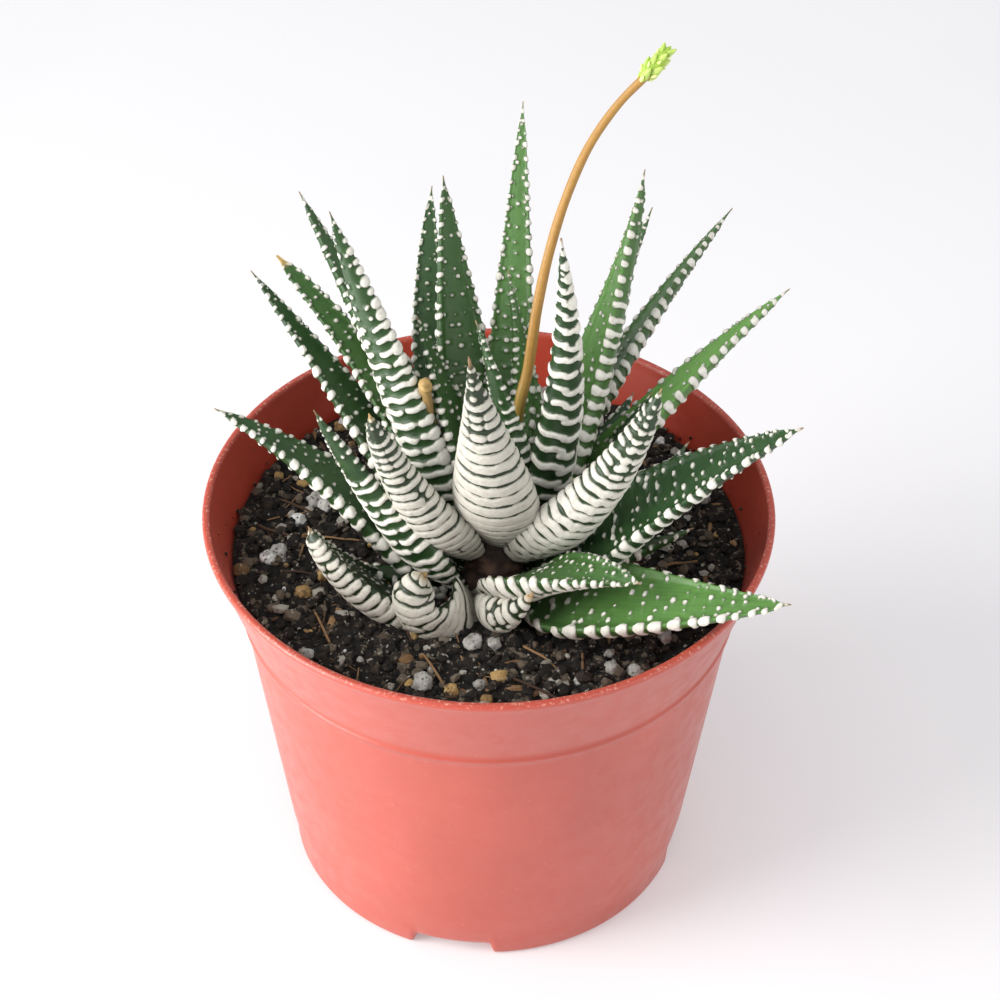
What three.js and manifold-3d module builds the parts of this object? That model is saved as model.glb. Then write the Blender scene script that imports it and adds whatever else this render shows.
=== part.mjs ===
// A potted haworthia: a striped rosette of 35 leaves in soil in a round nursery pot, with one
// flower stalk. Units are millimetres, +Z is up, the origin is under the middle of the pot's
// foot, and the front of the plant faces -Y. Angles are in degrees; azimuth 0 is +X, 90 is +Y.
import * as THREE from "three";
import { mergeVertices } from "three/addons/utils/BufferGeometryUtils.js";
import Module from "manifold-3d";

const wasm = await Module();
wasm.setup();

// Clearance that keeps neighbouring pieces apart.
const GAP = 0.32;

// Pot: a thin moulded shell with a flared rim band, a raised line under the band and a foot ring.
const POT_SIDES = 44;
const BASE_RADIUS = 36;
const LINE_RADIUS = 43.9;
const LINE_HEIGHT = 58.6;
const RIM_RADIUS = 50;
const POT_HEIGHT = 77.7;
const FLOOR_UNDERSIDE = 3;
const FLOOR_TOP = 4.4;
const INNER_FLOOR_RADIUS = 34.6;
const INNER_LINE_RADIUS = 42.6;
const INNER_LINE_HEIGHT = 59;
const INNER_RIM_RADIUS = 48.6;
const INNER_RIM_HEIGHT = 77;
const NOTCH = { width: 14, height: 2.6, firstAzimuth: 260, count: 4 };
const DRAIN = { radius: 3.5, circle: 21, firstAzimuth: 305, count: 4 };

// Soil: flat with a low mound at the plant, crumbs raised by a seeded draw, and larger grains.
const SOIL_LEVEL = 68;
const SOIL_SIDES = 36;
const SOIL_RINGS = 8;
const SOIL_EDGE_RADIUS = 45.1;
const MOUND = { x: 0, y: -12, height: 1.6, spread: 13 };
const CRUMB_HEIGHT = 0.75;
const GRAIN_COUNT = 16;

// Stem: a short dome that leans back, as the rosette does. Rings are [height, radius].
const LEAN = 20;
const CROWN = new THREE.Vector3(1, -7, 80);
const STEM_RINGS = [
  [58, 2.5], [60, 4.5], [64, 5], [67, 5.5], [70, 6], [72, 5], [75, 4], [78, 2.2], [80, 1.2],
];
const STEM_SIDES = 10;

// Roots in the soil: [azimuth, reach, drop, radius at the stem].
const ROOTS = [
  [20, 25, 30, 1.7],
  [85, 32, 26, 1.8],
  [150, 28, 34, 1.6],
  [215, 18, 28, 1.8],
  [300, 15, 32, 1.6],
];

// Leaves: name; seat azimuth and height on the stem; turn (azimuth) and its change to the tip;
// lift (elevation) and its change; length, width; roll and twist of the blade; tip width share; then,
// where they aren't 1, how pointed the blade is and how late along its length it curls.
const LEAVES = [
  ["leaf_01", 120, 75, 125, 6, 40, 1, 69, 11, 4, 0, 0.05],
  ["leaf_02", 140, 74, 139, 22, 60, 11, 68, 13, 15, 0, 0.05],
  ["leaf_03", 125, 73, 125, 14, 42, -18, 64, 9, -23, 0, 0.2],
  ["leaf_04", 137, 70, 133, 6, 37, -5, 65, 10.5, -9, 0, 0.05],
  ["leaf_05", 165, 65, 161, 12, 53, -27, 57, 13, -22, 0, 0.05],
  ["leaf_06", 191, 69, 185, -5, 56, 6, 47, 11.5, 2, 0, 0.05],
  ["leaf_07", 210, 75, 213, -16, 52, 23, 43, 9.5, 24, 0, 0.08, 0.7],
  ["leaf_08", 193, 65, 192, -15, 14, 49, 35, 16.5, 6, -20, 0.05, 0.8],
  ["leaf_09", 236, 67, 220, -25, 8, 140, 21.5, 13, 141, -222, 0.1, 0.65, 2],
  ["leaf_10", 264, 68, 263, 100, 15, 49, 18, 7, -35, -87, 0.1],
  ["leaf_11", 266, 70, 331, -5, 54, -50, 34, 12.5, -27, 80, 0.05],
  ["leaf_12", 359, 70, 1, 6, 16, 8, 30, 7.5, 5, 0, 0.05],
  ["leaf_13", 314, 70, 322, 25, 23, -10, 52, 16, 37, 0, 0.05],
  ["leaf_14", 352, 69, 351, -7, 53, -17, 63.5, 15.5, 45, 0, 0.05],
  ["leaf_15", 29, 73, 32, -10, 45, -13, 66, 11, 9, 0, 0.05],
  ["leaf_16", 327, 75, 328, 6, 48, 26, 55, 10, -35, 0, 0.05, 0.8],
  ["leaf_17", 56, 73, 59, -15, 37, -11, 74, 10, -19, 0, 0.05],
  ["leaf_18", 43, 74, 48, 7, 51, 20, 71, 13.5, 13, 0, 0.05],
  ["leaf_19", 59, 73, 60, -6, 42, 8, 65, 8, -1, 0, 0.05],
  ["leaf_20", 4, 74, 4, 56, 70, 31, 69, 8, -5, 0, 0.05],
  ["leaf_21", 78, 74, 85, 1, 52, 5, 77, 9.5, -5, 0, 0.05],
  ["leaf_22", 103, 76, 104, -2, 48, 12, 63, 13.5, 7, 0, 0.05],
  ["leaf_23", 109, 73, 115, -30, 32, 2, 69, 11, 0, 0, 0.05],
  ["leaf_24", 133, 78, 132, 5, 73, -14, 41, 9, -38, 0, 0.05],
  ["leaf_25", 82, 75, 137, 5, 108, -48, 48, 9, -7, 0, 0.05],
  ["leaf_26", 45, 71, 72, 46, 55, 8, 52, 8.5, 13, 0, 0.05],
  ["leaf_27", 297, 78, 264, -25, 68, 7, 56, 14, -5, 0, 0.05, 1.5],
  ["leaf_28", 14, 70, 18, 1, 27, 23, 37, 11.5, -9, 0, 0.05],
  ["leaf_29", 4, 71, 4, 0, 31, 8, 27, 10, 0, 0, 0.05],
  ["leaf_30", 30, 73, 31, 0, 40, 8, 37, 10, 0, 0, 0.05],
  ["leaf_31", 75, 70, 75, 0, 12, 12, 38, 11, 0, 0, 0.05],
  ["leaf_32", 108, 70, 108, 0, 10, 12, 36, 11, 0, 0, 0.05],
  ["leaf_33", 55, 70, 55, 0, 16, 12, 40, 11, 0, 0, 0.05],
  ["leaf_34", 128, 70, 128, 0, 10, 12, 36, 11, 0, 0, 0.05],
  ["leaf_35", 190, 69, 168, 0, 2, 4, 20, 8, 0, 0, 0.05],
];
const LEAF_STEPS = 60;
const LEAF_FOOT = 2;
const FOOT_SHARE = 0.42;
const WIDEST_AT = 0.25;
const BAND_PITCH = 6;
const BAND_BEND = 30;
const FIRST_BAND_AT = 0.1;
const LAST_BAND_AT = 0.94;
const BAND_HEIGHT = 0.45;
const THINNEST = 0.35;
const CUTTER_STEPS = 4;
const CUTTER_BEND = 11;

// Flower stalk, bud head and the two stubs of old stalks: points with a radius each.
const FLOWER_STALK = [
  [1.5, -6.5, 72, 1.1], [2, -4, 77, 1.1], [3.6, -1.8, 88, 1.05], [5.2, 0, 101, 1],
  [6.4, 2, 106, 0.95], [7.8, 4, 117.5, 0.9], [9.5, 7, 126, 0.85], [12.1, 9, 136, 0.8],
  [16, 11, 146, 0.75], [20.7, 13, 153, 0.7], [25.2, 14, 158, 0.7],
];
const BUD_CORE = [
  [24.6, 13.8, 157.2, 0.9], [26.2, 14.3, 159.3, 1.3], [28, 14.8, 161.6, 1.1], [29, 15, 163, 0.5],
];
const BUDS = { count: 9, radius: 0.85, length: 1.7, spread: 0.95, turn: 137.5 };
const DRY_STUB = [
  [-1, -8, 74, 0.95], [-4.8, -4.6, 79, 0.95], [-7.6, -2, 87, 0.85], [-9.8, -2, 98, 0.8],
  [-10.6, -2, 104, 0.8], [-10.8, -2, 105.6, 1.15], [-10.9, -2, 107, 0.9],
];
const CUT_STUB = [
  [2, -8, 74, 1.2], [8.5, -5.2, 80, 1.2], [12.6, -4.4, 85, 1.2], [14.2, -4, 87.6, 1.15],
];

const radians = (degrees) => (degrees * Math.PI) / 180;
const clamp01 = (value) => Math.min(1, Math.max(0, value));
const axis = new THREE.Vector3(0, Math.sin(radians(LEAN)), Math.cos(radians(LEAN)));

// A repeatable draw between 0 and 1.
function seededDraw(seed) {
  let state = seed;
  return () => {
    state = (state + 0x6d2b79f5) | 0;
    let mixed = Math.imul(state ^ (state >>> 15), 1 | state);
    mixed = (mixed + Math.imul(mixed ^ (mixed >>> 7), 61 | mixed)) ^ mixed;
    return ((mixed ^ (mixed >>> 14)) >>> 0) / 4294967296;
  };
}

// Value of a table of [position, value] pairs at one position, straight between its rows.
function between(rows, position) {
  let last = rows[0];
  for (const row of rows) {
    if (position <= row[0]) {
      const span = row[0] - last[0];
      return span > 0 ? last[1] + ((row[1] - last[1]) * (position - last[0])) / span : row[1];
    }
    last = row;
  }
  return last[1];
}

// A closed solid from vertices and triangles that face out.
function solidFrom(positions, triangles) {
  return new wasm.Manifold(
    new wasm.Mesh({
      numProp: 3,
      vertProperties: new Float32Array(positions),
      triVerts: new Uint32Array(triangles),
    }),
  );
}

// The same from a three.js geometry, with the vertices at its seams merged.
function solidFromGeometry(geometry) {
  const bare = new THREE.BufferGeometry();
  bare.setAttribute("position", geometry.getAttribute("position"));
  bare.setIndex(geometry.index);
  const merged = mergeVertices(bare, 1e-4);
  const positions = merged.getAttribute("position").array;
  const triangles = [];
  const index = merged.index.array;
  for (let i = 0; i < index.length; i += 3) {
    const [a, b, c] = [index[i], index[i + 1], index[i + 2]];
    if (a !== b && b !== c && a !== c) triangles.push(a, b, c);
  }
  return solidFrom(positions, triangles);
}

// A skin over rings of equally many points, closed by a fan at each end.
function loft(rings) {
  const count = rings[0].length;
  const positions = rings.flat().flatMap((point) => point.toArray());
  const triangles = [];
  for (let row = 0; row < rings.length - 1; row += 1) {
    for (let side = 0; side < count; side += 1) {
      const a = row * count + side;
      const b = row * count + ((side + 1) % count);
      triangles.push(a, a + count, b, b, a + count, b + count);
    }
  }
  const end = (rings.length - 1) * count;
  for (let side = 1; side < count - 1; side += 1) {
    triangles.push(0, side, side + 1, end, end + side + 1, end + side);
  }
  return solidFrom(positions, triangles);
}

// A round ring about a centre, square to a direction.
function ringAround(centre, direction, radius, sides) {
  const helper = Math.abs(direction.z) < 0.9 ? new THREE.Vector3(0, 0, 1) : new THREE.Vector3(1, 0, 0);
  const across = new THREE.Vector3().crossVectors(helper, direction).normalize();
  const other = new THREE.Vector3().crossVectors(direction, across);
  const ring = [];
  for (let side = 0; side < sides; side += 1) {
    const angle = (-2 * Math.PI * side) / sides;
    ring.push(
      centre
        .clone()
        .addScaledVector(across, radius * Math.cos(angle))
        .addScaledVector(other, radius * Math.sin(angle)),
    );
  }
  return ring;
}

// A round rod through points [x, y, z, radius], smoothed between them.
function rod(points, sides, stations, grow = 0) {
  const curve = new THREE.CatmullRomCurve3(
    points.map(([x, y, z]) => new THREE.Vector3(x, y, z)),
    false,
    "centripetal",
  );
  const rings = [];
  for (let i = 0; i <= stations; i += 1) {
    const share = (i / stations) * (points.length - 1);
    const before = Math.min(points.length - 2, Math.floor(share));
    const radius = THREE.MathUtils.lerp(points[before][3], points[before + 1][3], share - before);
    const t = i / stations;
    rings.push(ringAround(curve.getPoint(t), curve.getTangent(t), radius + grow, sides));
  }
  return loft(rings);
}

// The largest body of a cut solid; loose scraps are dropped.
function largestBody(solid) {
  const bodies = solid.decompose();
  return bodies.reduce((best, body) => (body.volume() > best.volume() ? body : best));
}

function boxesMeet(first, second) {
  const [a, b] = [first.boundingBox(), second.boundingBox()];
  return [0, 1, 2].every((i) => a.min[i] < b.max[i] && b.min[i] < a.max[i]);
}

// A solid less its neighbours, with the short edges that the cuts leave smoothed away.
function trimmed(solid, cutters) {
  let left = solid;
  for (const cutter of cutters) {
    if (boxesMeet(left, cutter)) left = left.subtract(cutter);
  }
  return largestBody(left.simplify(0.1));
}

// Pot shell, turned about the Z axis, then notched at the foot and drilled in the floor.
function makePot() {
  const profile = [
    [0, FLOOR_UNDERSIDE],
    [31.4, FLOOR_UNDERSIDE],
    [32, 0],
    [BASE_RADIUS - 1, 0],
    [BASE_RADIUS - 0.3, 0.4],
    [BASE_RADIUS + 0.15, 1.5],
    [LINE_RADIUS - 0.15, LINE_HEIGHT - 0.6],
    [LINE_RADIUS + 0.35, LINE_HEIGHT - 0.2],
    [LINE_RADIUS + 0.35, LINE_HEIGHT + 0.3],
    [LINE_RADIUS + 0.1, LINE_HEIGHT + 0.7],
    [RIM_RADIUS - 0.75, POT_HEIGHT - 2],
    [RIM_RADIUS - 0.15, POT_HEIGHT - 1.4],
    [RIM_RADIUS, POT_HEIGHT - 0.5],
    [RIM_RADIUS - 0.4, POT_HEIGHT],
    [INNER_RIM_RADIUS + 0.35, POT_HEIGHT],
    [INNER_RIM_RADIUS, INNER_RIM_HEIGHT],
    [INNER_LINE_RADIUS, INNER_LINE_HEIGHT],
    [INNER_FLOOR_RADIUS, FLOOR_TOP + 0.4],
    [INNER_FLOOR_RADIUS - 0.8, FLOOR_TOP],
    [0, FLOOR_TOP],
  ].map(([radius, z]) => new THREE.Vector2(radius, z));
  const lathe = new THREE.LatheGeometry(profile, POT_SIDES);
  let pot = solidFromGeometry(lathe.rotateX(Math.PI / 2));
  if (pot.volume() < 0) throw new Error("the pot's profile runs the wrong way round");
  for (let i = 0; i < NOTCH.count; i += 1) {
    const notch = new THREE.BoxGeometry(9, NOTCH.width, 2 * NOTCH.height)
      .translate(34.5, 0, 0)
      .rotateZ(radians(NOTCH.firstAzimuth + (360 * i) / NOTCH.count));
    pot = pot.subtract(solidFromGeometry(notch));
  }
  for (let i = 0; i < DRAIN.count; i += 1) {
    const drain = new THREE.CylinderGeometry(DRAIN.radius, DRAIN.radius, 6, 14)
      .rotateX(Math.PI / 2)
      .translate(DRAIN.circle, 0, FLOOR_TOP)
      .rotateZ(radians(DRAIN.firstAzimuth + (360 * i) / DRAIN.count));
    pot = pot.subtract(solidFromGeometry(drain));
  }
  return largestBody(pot.simplify(0.02));
}

// The upper wall of the pot with its clearance, which the leaves that reach over it are cut by.
function potWallCutter() {
  const profile = [
    [LINE_RADIUS + 1, 50],
    [RIM_RADIUS + GAP, POT_HEIGHT - 2],
    [RIM_RADIUS + GAP, POT_HEIGHT + GAP],
    [INNER_RIM_RADIUS - GAP, POT_HEIGHT + GAP],
    [INNER_RIM_RADIUS - GAP, INNER_RIM_HEIGHT],
    [INNER_LINE_RADIUS - GAP, INNER_LINE_HEIGHT],
    [INNER_LINE_RADIUS - 1.2, 50],
    [LINE_RADIUS + 1, 50],
  ].map(([radius, z]) => new THREE.Vector2(radius, z));
  const lathe = new THREE.LatheGeometry(profile, POT_SIDES);
  return solidFromGeometry(lathe.rotateX(Math.PI / 2));
}

// Where the leaning stem's middle is at one height.
function stemMiddle(z) {
  return CROWN.clone().addScaledVector(axis, (z - CROWN.z) / axis.z);
}

function makeStemAndRoots(grow = 0) {
  const rings = STEM_RINGS.map(([z, radius]) =>
    ringAround(stemMiddle(z), axis, radius + grow, STEM_SIDES),
  );
  rings.push(ringAround(stemMiddle(81 + grow), axis, 0.5 + grow, STEM_SIDES));
  rings.unshift(ringAround(stemMiddle(57.4 - grow), axis, 1 + grow, STEM_SIDES));
  let stem = loft(rings);
  const start = stemMiddle(60);
  for (const [azimuth, reach, drop, radius] of ROOTS) {
    const points = [0, 0.25, 0.5, 0.75, 1].map((t) => {
      const bend = radians(azimuth + 18 * t * t);
      return [
        start.x + Math.cos(bend) * (2 + reach * t),
        start.y + Math.sin(bend) * (2 + reach * t),
        start.z + 0.5 - drop * t ** 1.4,
        radius * (1 - 0.6 * t),
      ];
    });
    stem = stem.add(rod(points, 5, 4, grow));
  }
  return largestBody(stem.simplify(0.02));
}

// Middle line of a leaf with its across and inward directions, at evenly spaced steps.
function leafCourse(leaf) {
  const direction = (u) => {
    const azimuth = radians(leaf.turn + leaf.sway * u);
    const elevation = radians(leaf.lift + leaf.curl * u ** leaf.hook);
    return new THREE.Vector3(
      Math.cos(elevation) * Math.cos(azimuth),
      Math.cos(elevation) * Math.sin(azimuth),
      Math.sin(elevation),
    );
  };
  const seat = radians(leaf.seat);
  const out = new THREE.Vector3(Math.cos(seat), Math.sin(seat), 0);
  out.addScaledVector(axis, -out.dot(axis)).normalize();
  const point = stemMiddle(leaf.height).addScaledVector(out, between(STEM_RINGS, leaf.height));
  const course = [];
  for (let step = 0; step <= LEAF_STEPS; step += 1) {
    const u = step / LEAF_STEPS;
    const along = direction(u);
    const inward = axis.clone().addScaledVector(along, -axis.dot(along)).normalize();
    const across = new THREE.Vector3().crossVectors(along, inward);
    const roll = radians(leaf.roll + leaf.twist * u);
    course.push({
      point: point.clone(),
      along,
      across: across.clone().multiplyScalar(Math.cos(roll)).addScaledVector(inward, -Math.sin(roll)),
      inward: inward.clone().multiplyScalar(Math.cos(roll)).addScaledVector(across, Math.sin(roll)),
    });
    point.addScaledVector(direction(u + 0.5 / LEAF_STEPS), leaf.length / LEAF_STEPS);
  }
  return course;
}

// The course at any share of the length, straight between two steps.
function courseAt(course, u) {
  const share = clamp01(u) * LEAF_STEPS;
  const before = Math.min(LEAF_STEPS - 1, Math.floor(share));
  const mix = (key) => course[before][key].clone().lerp(course[before + 1][key], share - before);
  return { point: mix("point"), along: mix("along"), across: mix("across"), inward: mix("inward") };
}

// Share of the full width: narrow at the foot, widest at a quarter, then tapering to the tip.
function bladeShare(u, { tip, point }) {
  const swelling = Math.sin((Math.min(u, WIDEST_AT) / WIDEST_AT) * (Math.PI / 2));
  if (u < WIDEST_AT) return FOOT_SHARE + (1 - FOOT_SHARE) * swelling;
  const past = clamp01((u - WIDEST_AT) / (1 - WIDEST_AT));
  return tip + (1 - tip) * (1 - past ** (0.75 + 0.5 * point)) ** point;
}

// Where a leaf's rings stand: the foot, then a groove and a raised band in turn, then the tip.
function bandStations(leaf) {
  const bend = Math.abs(leaf.curl) + Math.abs(leaf.sway);
  const bands = Math.max(4, Math.round(leaf.length / BAND_PITCH), Math.round(bend / BAND_BEND));
  const stations = [{ u: 0, back: LEAF_FOOT, band: 0 }];
  for (let i = 0; i < bands; i += 1) {
    const start = FIRST_BAND_AT + ((LAST_BAND_AT - FIRST_BAND_AT) * i) / bands;
    stations.push({ u: start, back: 0, band: 0 });
    stations.push({ u: start + (LAST_BAND_AT - FIRST_BAND_AT) / 2 / bands, back: 0, band: 1 });
  }
  stations.push({ u: 1, back: 0, band: 0 });
  return stations;
}

// A keeled blade: a nearly flat inner face with a row of pearls, a rounded outer face raised in
// bands, and edges toothed by the ends of the bands.
function bladeThrough(leaf, stations, grow) {
  const course = leafCourse(leaf);
  const rings = stations.map(({ u, back, band }) => {
    const { point, along, across, inward } = courseAt(course, u);
    const share = bladeShare(u, leaf);
    const width = Math.max((leaf.width / 2) * share, THINNEST) + grow;
    const swell = 0.55 + 0.45 * clamp01(u / 0.3);
    const depth = Math.max(leaf.width * 0.36 * share ** 0.8 * swell, 0.6) + grow;
    const raised = BAND_HEIGHT * band * (width > 1.2 ? 1 : 0.4);
    const [edge, keel] = [width + raised, depth + raised];
    const inner = 0.15 * depth - 0.08 * width + grow;
    const centre = point.addScaledVector(along, -back - (back > 0 ? grow : 0));
    return [
      [edge, 0],
      [0, inner + 0.6 * raised],
      [-edge, 0],
      [-0.68 * edge, -0.68 * keel],
      [0, -keel],
      [0.68 * edge, -0.68 * keel],
    ].map(([x, y]) => centre.clone().addScaledVector(across, x).addScaledVector(inward, y));
  });
  return loft(rings);
}

const makeLeaf = (leaf) => bladeThrough(leaf, bandStations(leaf), 0);

// The space that a leaf takes up with its clearance, without the bands. A twisted leaf keeps its
// own rings, so that the space turns with it.
function leafCutter(leaf) {
  if (leaf.twist !== 0) return bladeThrough(leaf, bandStations(leaf), GAP + 0.1);
  const bend = Math.abs(leaf.curl) + Math.abs(leaf.sway);
  const steps = Math.max(CUTTER_STEPS, Math.round(bend / CUTTER_BEND));
  const stations = [{ u: 0, back: LEAF_FOOT, band: 0 }];
  stations.push({ u: WIDEST_AT / 3, back: 0, band: 0 }, { u: (WIDEST_AT * 2) / 3, back: 0, band: 0 });
  for (let i = 0; i <= steps; i += 1) {
    stations.push({ u: WIDEST_AT + ((1 - WIDEST_AT) * i) / steps, back: 0, band: 0 });
  }
  return bladeThrough(leaf, stations, GAP + BAND_HEIGHT);
}

// Height of the soil before its crumbs.
function soilHeight(x, y) {
  const distance = ((x - MOUND.x) ** 2 + (y - MOUND.y) ** 2) / (2 * MOUND.spread ** 2);
  return SOIL_LEVEL + MOUND.height * Math.exp(-distance);
}

function makeSoil() {
  const draw = seededDraw(11);
  const positions = [0, 0, soilHeight(0, 0)];
  const rows = [];
  for (let ring = 1; ring <= SOIL_RINGS; ring += 1) {
    rows.push({ radius: (SOIL_EDGE_RADIUS * ring) / SOIL_RINGS, crumbs: ring < SOIL_RINGS });
  }
  rows.push({ radius: INNER_LINE_RADIUS - GAP, z: INNER_LINE_HEIGHT });
  rows.push({ radius: INNER_FLOOR_RADIUS - GAP, z: FLOOR_TOP + 0.9 });
  rows.push({ radius: INNER_FLOOR_RADIUS - 1.4, z: FLOOR_TOP + GAP });
  for (const row of rows) {
    for (let side = 0; side < SOIL_SIDES; side += 1) {
      const angle = (2 * Math.PI * side) / SOIL_SIDES;
      const radius = row.radius + (row.crumbs ? (draw() - 0.5) * 1.6 : 0);
      const [x, y] = [radius * Math.cos(angle), radius * Math.sin(angle)];
      const crumb = row.crumbs ? (draw() - 0.4) * 2 * CRUMB_HEIGHT : 0;
      positions.push(x, y, row.z ?? soilHeight(x, y) + crumb);
    }
  }
  const under = positions.length / 3;
  positions.push(0, 0, FLOOR_TOP + GAP);
  const triangles = [];
  const last = rows.length - 1;
  const at = (row, side) => 1 + row * SOIL_SIDES + (side % SOIL_SIDES);
  for (let side = 0; side < SOIL_SIDES; side += 1) {
    triangles.push(0, at(0, side), at(0, side + 1));
    for (let row = 0; row < last; row += 1) {
      triangles.push(at(row, side), at(row + 1, side), at(row, side + 1));
      triangles.push(at(row, side + 1), at(row + 1, side), at(row + 1, side + 1));
    }
    triangles.push(under, at(last, side + 1), at(last, side));
  }
  let soil = solidFrom(positions, triangles);
  for (let i = 0; i < GRAIN_COUNT; i += 1) {
    const distance = 14 + 28 * Math.sqrt(draw());
    const angle = 2 * Math.PI * draw();
    const [x, y] = [distance * Math.cos(angle), distance * Math.sin(angle)];
    const size = 1 + 1.3 * draw();
    const grain = new THREE.IcosahedronGeometry(size, 0)
      .scale(1, 0.8 + 0.3 * draw(), 0.7)
      .rotateZ(6 * draw())
      .translate(x, y, soilHeight(x, y) + 0.25 * size);
    soil = soil.add(solidFromGeometry(grain));
  }
  return soil;
}

// Bud head: a tapered core with small pointed buds set round it in a spiral.
function makeBudHead() {
  let head = rod(BUD_CORE, 7, 6);
  const base = new THREE.Vector3(...BUD_CORE[0]);
  const top = new THREE.Vector3(...BUD_CORE[BUD_CORE.length - 1]);
  const along = top.clone().sub(base).normalize();
  const across = new THREE.Vector3(0, 0, 1).cross(along).normalize();
  for (let i = 0; i < BUDS.count; i += 1) {
    const t = (i + 0.5) / BUDS.count;
    const out = across.clone().applyAxisAngle(along, radians(BUDS.turn * i));
    const spread = BUDS.spread * (1 - 0.5 * t) + 0.3;
    const centre = base.clone().lerp(top, 0.12 + 0.8 * t).addScaledVector(out, spread);
    const pointing = along.clone().addScaledVector(out, 0.45).normalize();
    const turn = new THREE.Quaternion().setFromUnitVectors(new THREE.Vector3(0, 0, 1), pointing);
    const size = BUDS.radius * (1 - 0.3 * t);
    const bud = new THREE.OctahedronGeometry(1, 0)
      .scale(size, size, BUDS.length * (1 - 0.3 * t))
      .applyQuaternion(turn)
      .translate(centre.x, centre.y, centre.z);
    head = head.add(solidFromGeometry(bud));
  }
  return head;
}

const COLOURS = {
  pot: 0xd0685c,
  soil: 0x2b241f,
  stem: 0x8a6a48,
  leaf: 0x2f6b33,
  stalk: 0xc0843a,
  buds: 0xa9c94a,
  stub: 0xbf9350,
  cutStub: 0xcfc08a,
};
const ROUGHNESS = { pot: 0.42, soil: 0.95, leaf: 0.5 };

const part = new THREE.Group();
part.name = "potted_haworthia";

function addNode(name, solid, colour) {
  const mesh = solid.getMesh();
  const geometry = new THREE.BufferGeometry();
  geometry.setAttribute("position", new THREE.BufferAttribute(mesh.vertProperties, 3));
  geometry.setIndex(new THREE.BufferAttribute(mesh.triVerts, 1));
  geometry.computeVertexNormals();
  const material = new THREE.MeshStandardMaterial({
    color: COLOURS[colour],
    roughness: ROUGHNESS[colour] ?? 0.7,
    metalness: 0,
    flatShading: true,
  });
  const node = new THREE.Mesh(geometry, material);
  node.name = name;
  part.add(node);
}

// The stem comes first, then what grows from it, each cut clear of what came before it.
const potWall = potWallCutter();
const cutters = [makeStemAndRoots(GAP)];
addNode("pot", makePot(), "pot");
addNode("stem_and_roots", makeStemAndRoots(), "stem");

const stalkCutter = rod(FLOWER_STALK, 6, 20, GAP);
addNode("flower_stalk", trimmed(rod(FLOWER_STALK, 6, 20), cutters), "stalk");
addNode("flower_buds", trimmed(makeBudHead(), [stalkCutter]), "buds");
cutters.push(stalkCutter);
addNode("dry_stalk_stub", trimmed(rod(DRY_STUB, 6, 10), cutters), "stub");
cutters.push(rod(DRY_STUB, 6, 10, GAP));
addNode("cut_stalk_stub", trimmed(rod(CUT_STUB, 6, 4), cutters), "cutStub");
cutters.push(rod(CUT_STUB, 6, 4, GAP));

// Leaves from the heart of the rosette outwards: the higher a leaf sits, the earlier it is made.
const keys = [
  "name", "seat", "height", "turn", "sway", "lift", "curl", "length", "width", "roll", "twist", "tip",
  "point", "hook",
];
const leaves = LEAVES.map((row) => Object.fromEntries(keys.map((key, i) => [key, row[i] ?? 1])));
for (const leaf of leaves.toSorted((a, b) => b.height - a.height)) {
  addNode(leaf.name, trimmed(makeLeaf(leaf), [...cutters, potWall]), "leaf");
  cutters.push(leafCutter(leaf));
}

// The soil comes last, with holes for the stem, the roots and the feet of the low leaves.
addNode("soil", trimmed(makeSoil(), cutters), "soil");

export default part;
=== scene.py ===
"""The looks of a potted haworthia: its leaves with raised white bands and pearls, its flower
stalk, the peaty soil and the moulded pot, built round the CAD frame.

Tables and mesh code are in millimetres; Blender's scene is in metres. +Z is up, the front of the
plant faces -Y, and azimuth 0 is +X. Every random draw is seeded, so each run gives the same mesh.
"""
import math

import bmesh
import bpy
import numpy as np
from mathutils import Matrix, Vector, noise


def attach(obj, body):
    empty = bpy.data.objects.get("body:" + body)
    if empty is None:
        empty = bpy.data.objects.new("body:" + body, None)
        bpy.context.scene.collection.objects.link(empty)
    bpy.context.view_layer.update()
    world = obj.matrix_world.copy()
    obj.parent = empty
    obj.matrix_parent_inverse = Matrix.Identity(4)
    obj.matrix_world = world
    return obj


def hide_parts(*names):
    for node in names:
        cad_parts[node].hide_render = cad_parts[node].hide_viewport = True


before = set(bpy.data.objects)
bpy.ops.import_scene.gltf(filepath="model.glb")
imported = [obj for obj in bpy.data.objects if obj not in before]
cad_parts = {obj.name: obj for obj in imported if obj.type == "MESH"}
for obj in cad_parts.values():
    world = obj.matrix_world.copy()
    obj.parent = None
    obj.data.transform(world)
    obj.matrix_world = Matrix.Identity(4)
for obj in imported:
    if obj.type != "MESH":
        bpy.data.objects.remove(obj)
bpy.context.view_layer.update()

MM = 0.001
LEAF_SEED = 399
MARKS_SEED = 899
SOIL_SEED = 21

# Pot, in millimetres and degrees: its foot, raised line and rim, outside and inside, its floor, the
# notches of its foot ring and its drain holes.
BASE_RADIUS = 36
LINE_RADIUS = 43.9
LINE_HEIGHT = 58.6
RIM_RADIUS = 50
POT_HEIGHT = 77.7
FLOOR_UNDERSIDE = 3
FLOOR_TOP = 4.4
INNER_FLOOR_RADIUS = 34.6
INNER_LINE_RADIUS = 42.6
INNER_LINE_HEIGHT = 59
INNER_RIM_RADIUS = 48.6
INNER_RIM_HEIGHT = 77
NOTCH_WIDTH = 14
NOTCH_HEIGHT = 2.6
NOTCH_AZIMUTHS = [260, 350, 80, 170]
NOTCH_EDGE = 1.1
FOOT_RING_RADIUS = 34.5
POT_AZIMUTHS = 180
DRAIN = {"radius": 3.5, "circle": 21, "first_azimuth": 305, "count": 4}

# Soil: its top and mound, its mesh and its clearance to the pot.
SOIL_LEVEL = 68
SOIL_EDGE_RADIUS = 45.1
MOUND = {"x": 0, "y": -12, "height": 1.6, "spread": 13}
SOIL_RINGS = 124
SOIL_SIDES = 264
SOIL_GAP = 0.32

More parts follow.
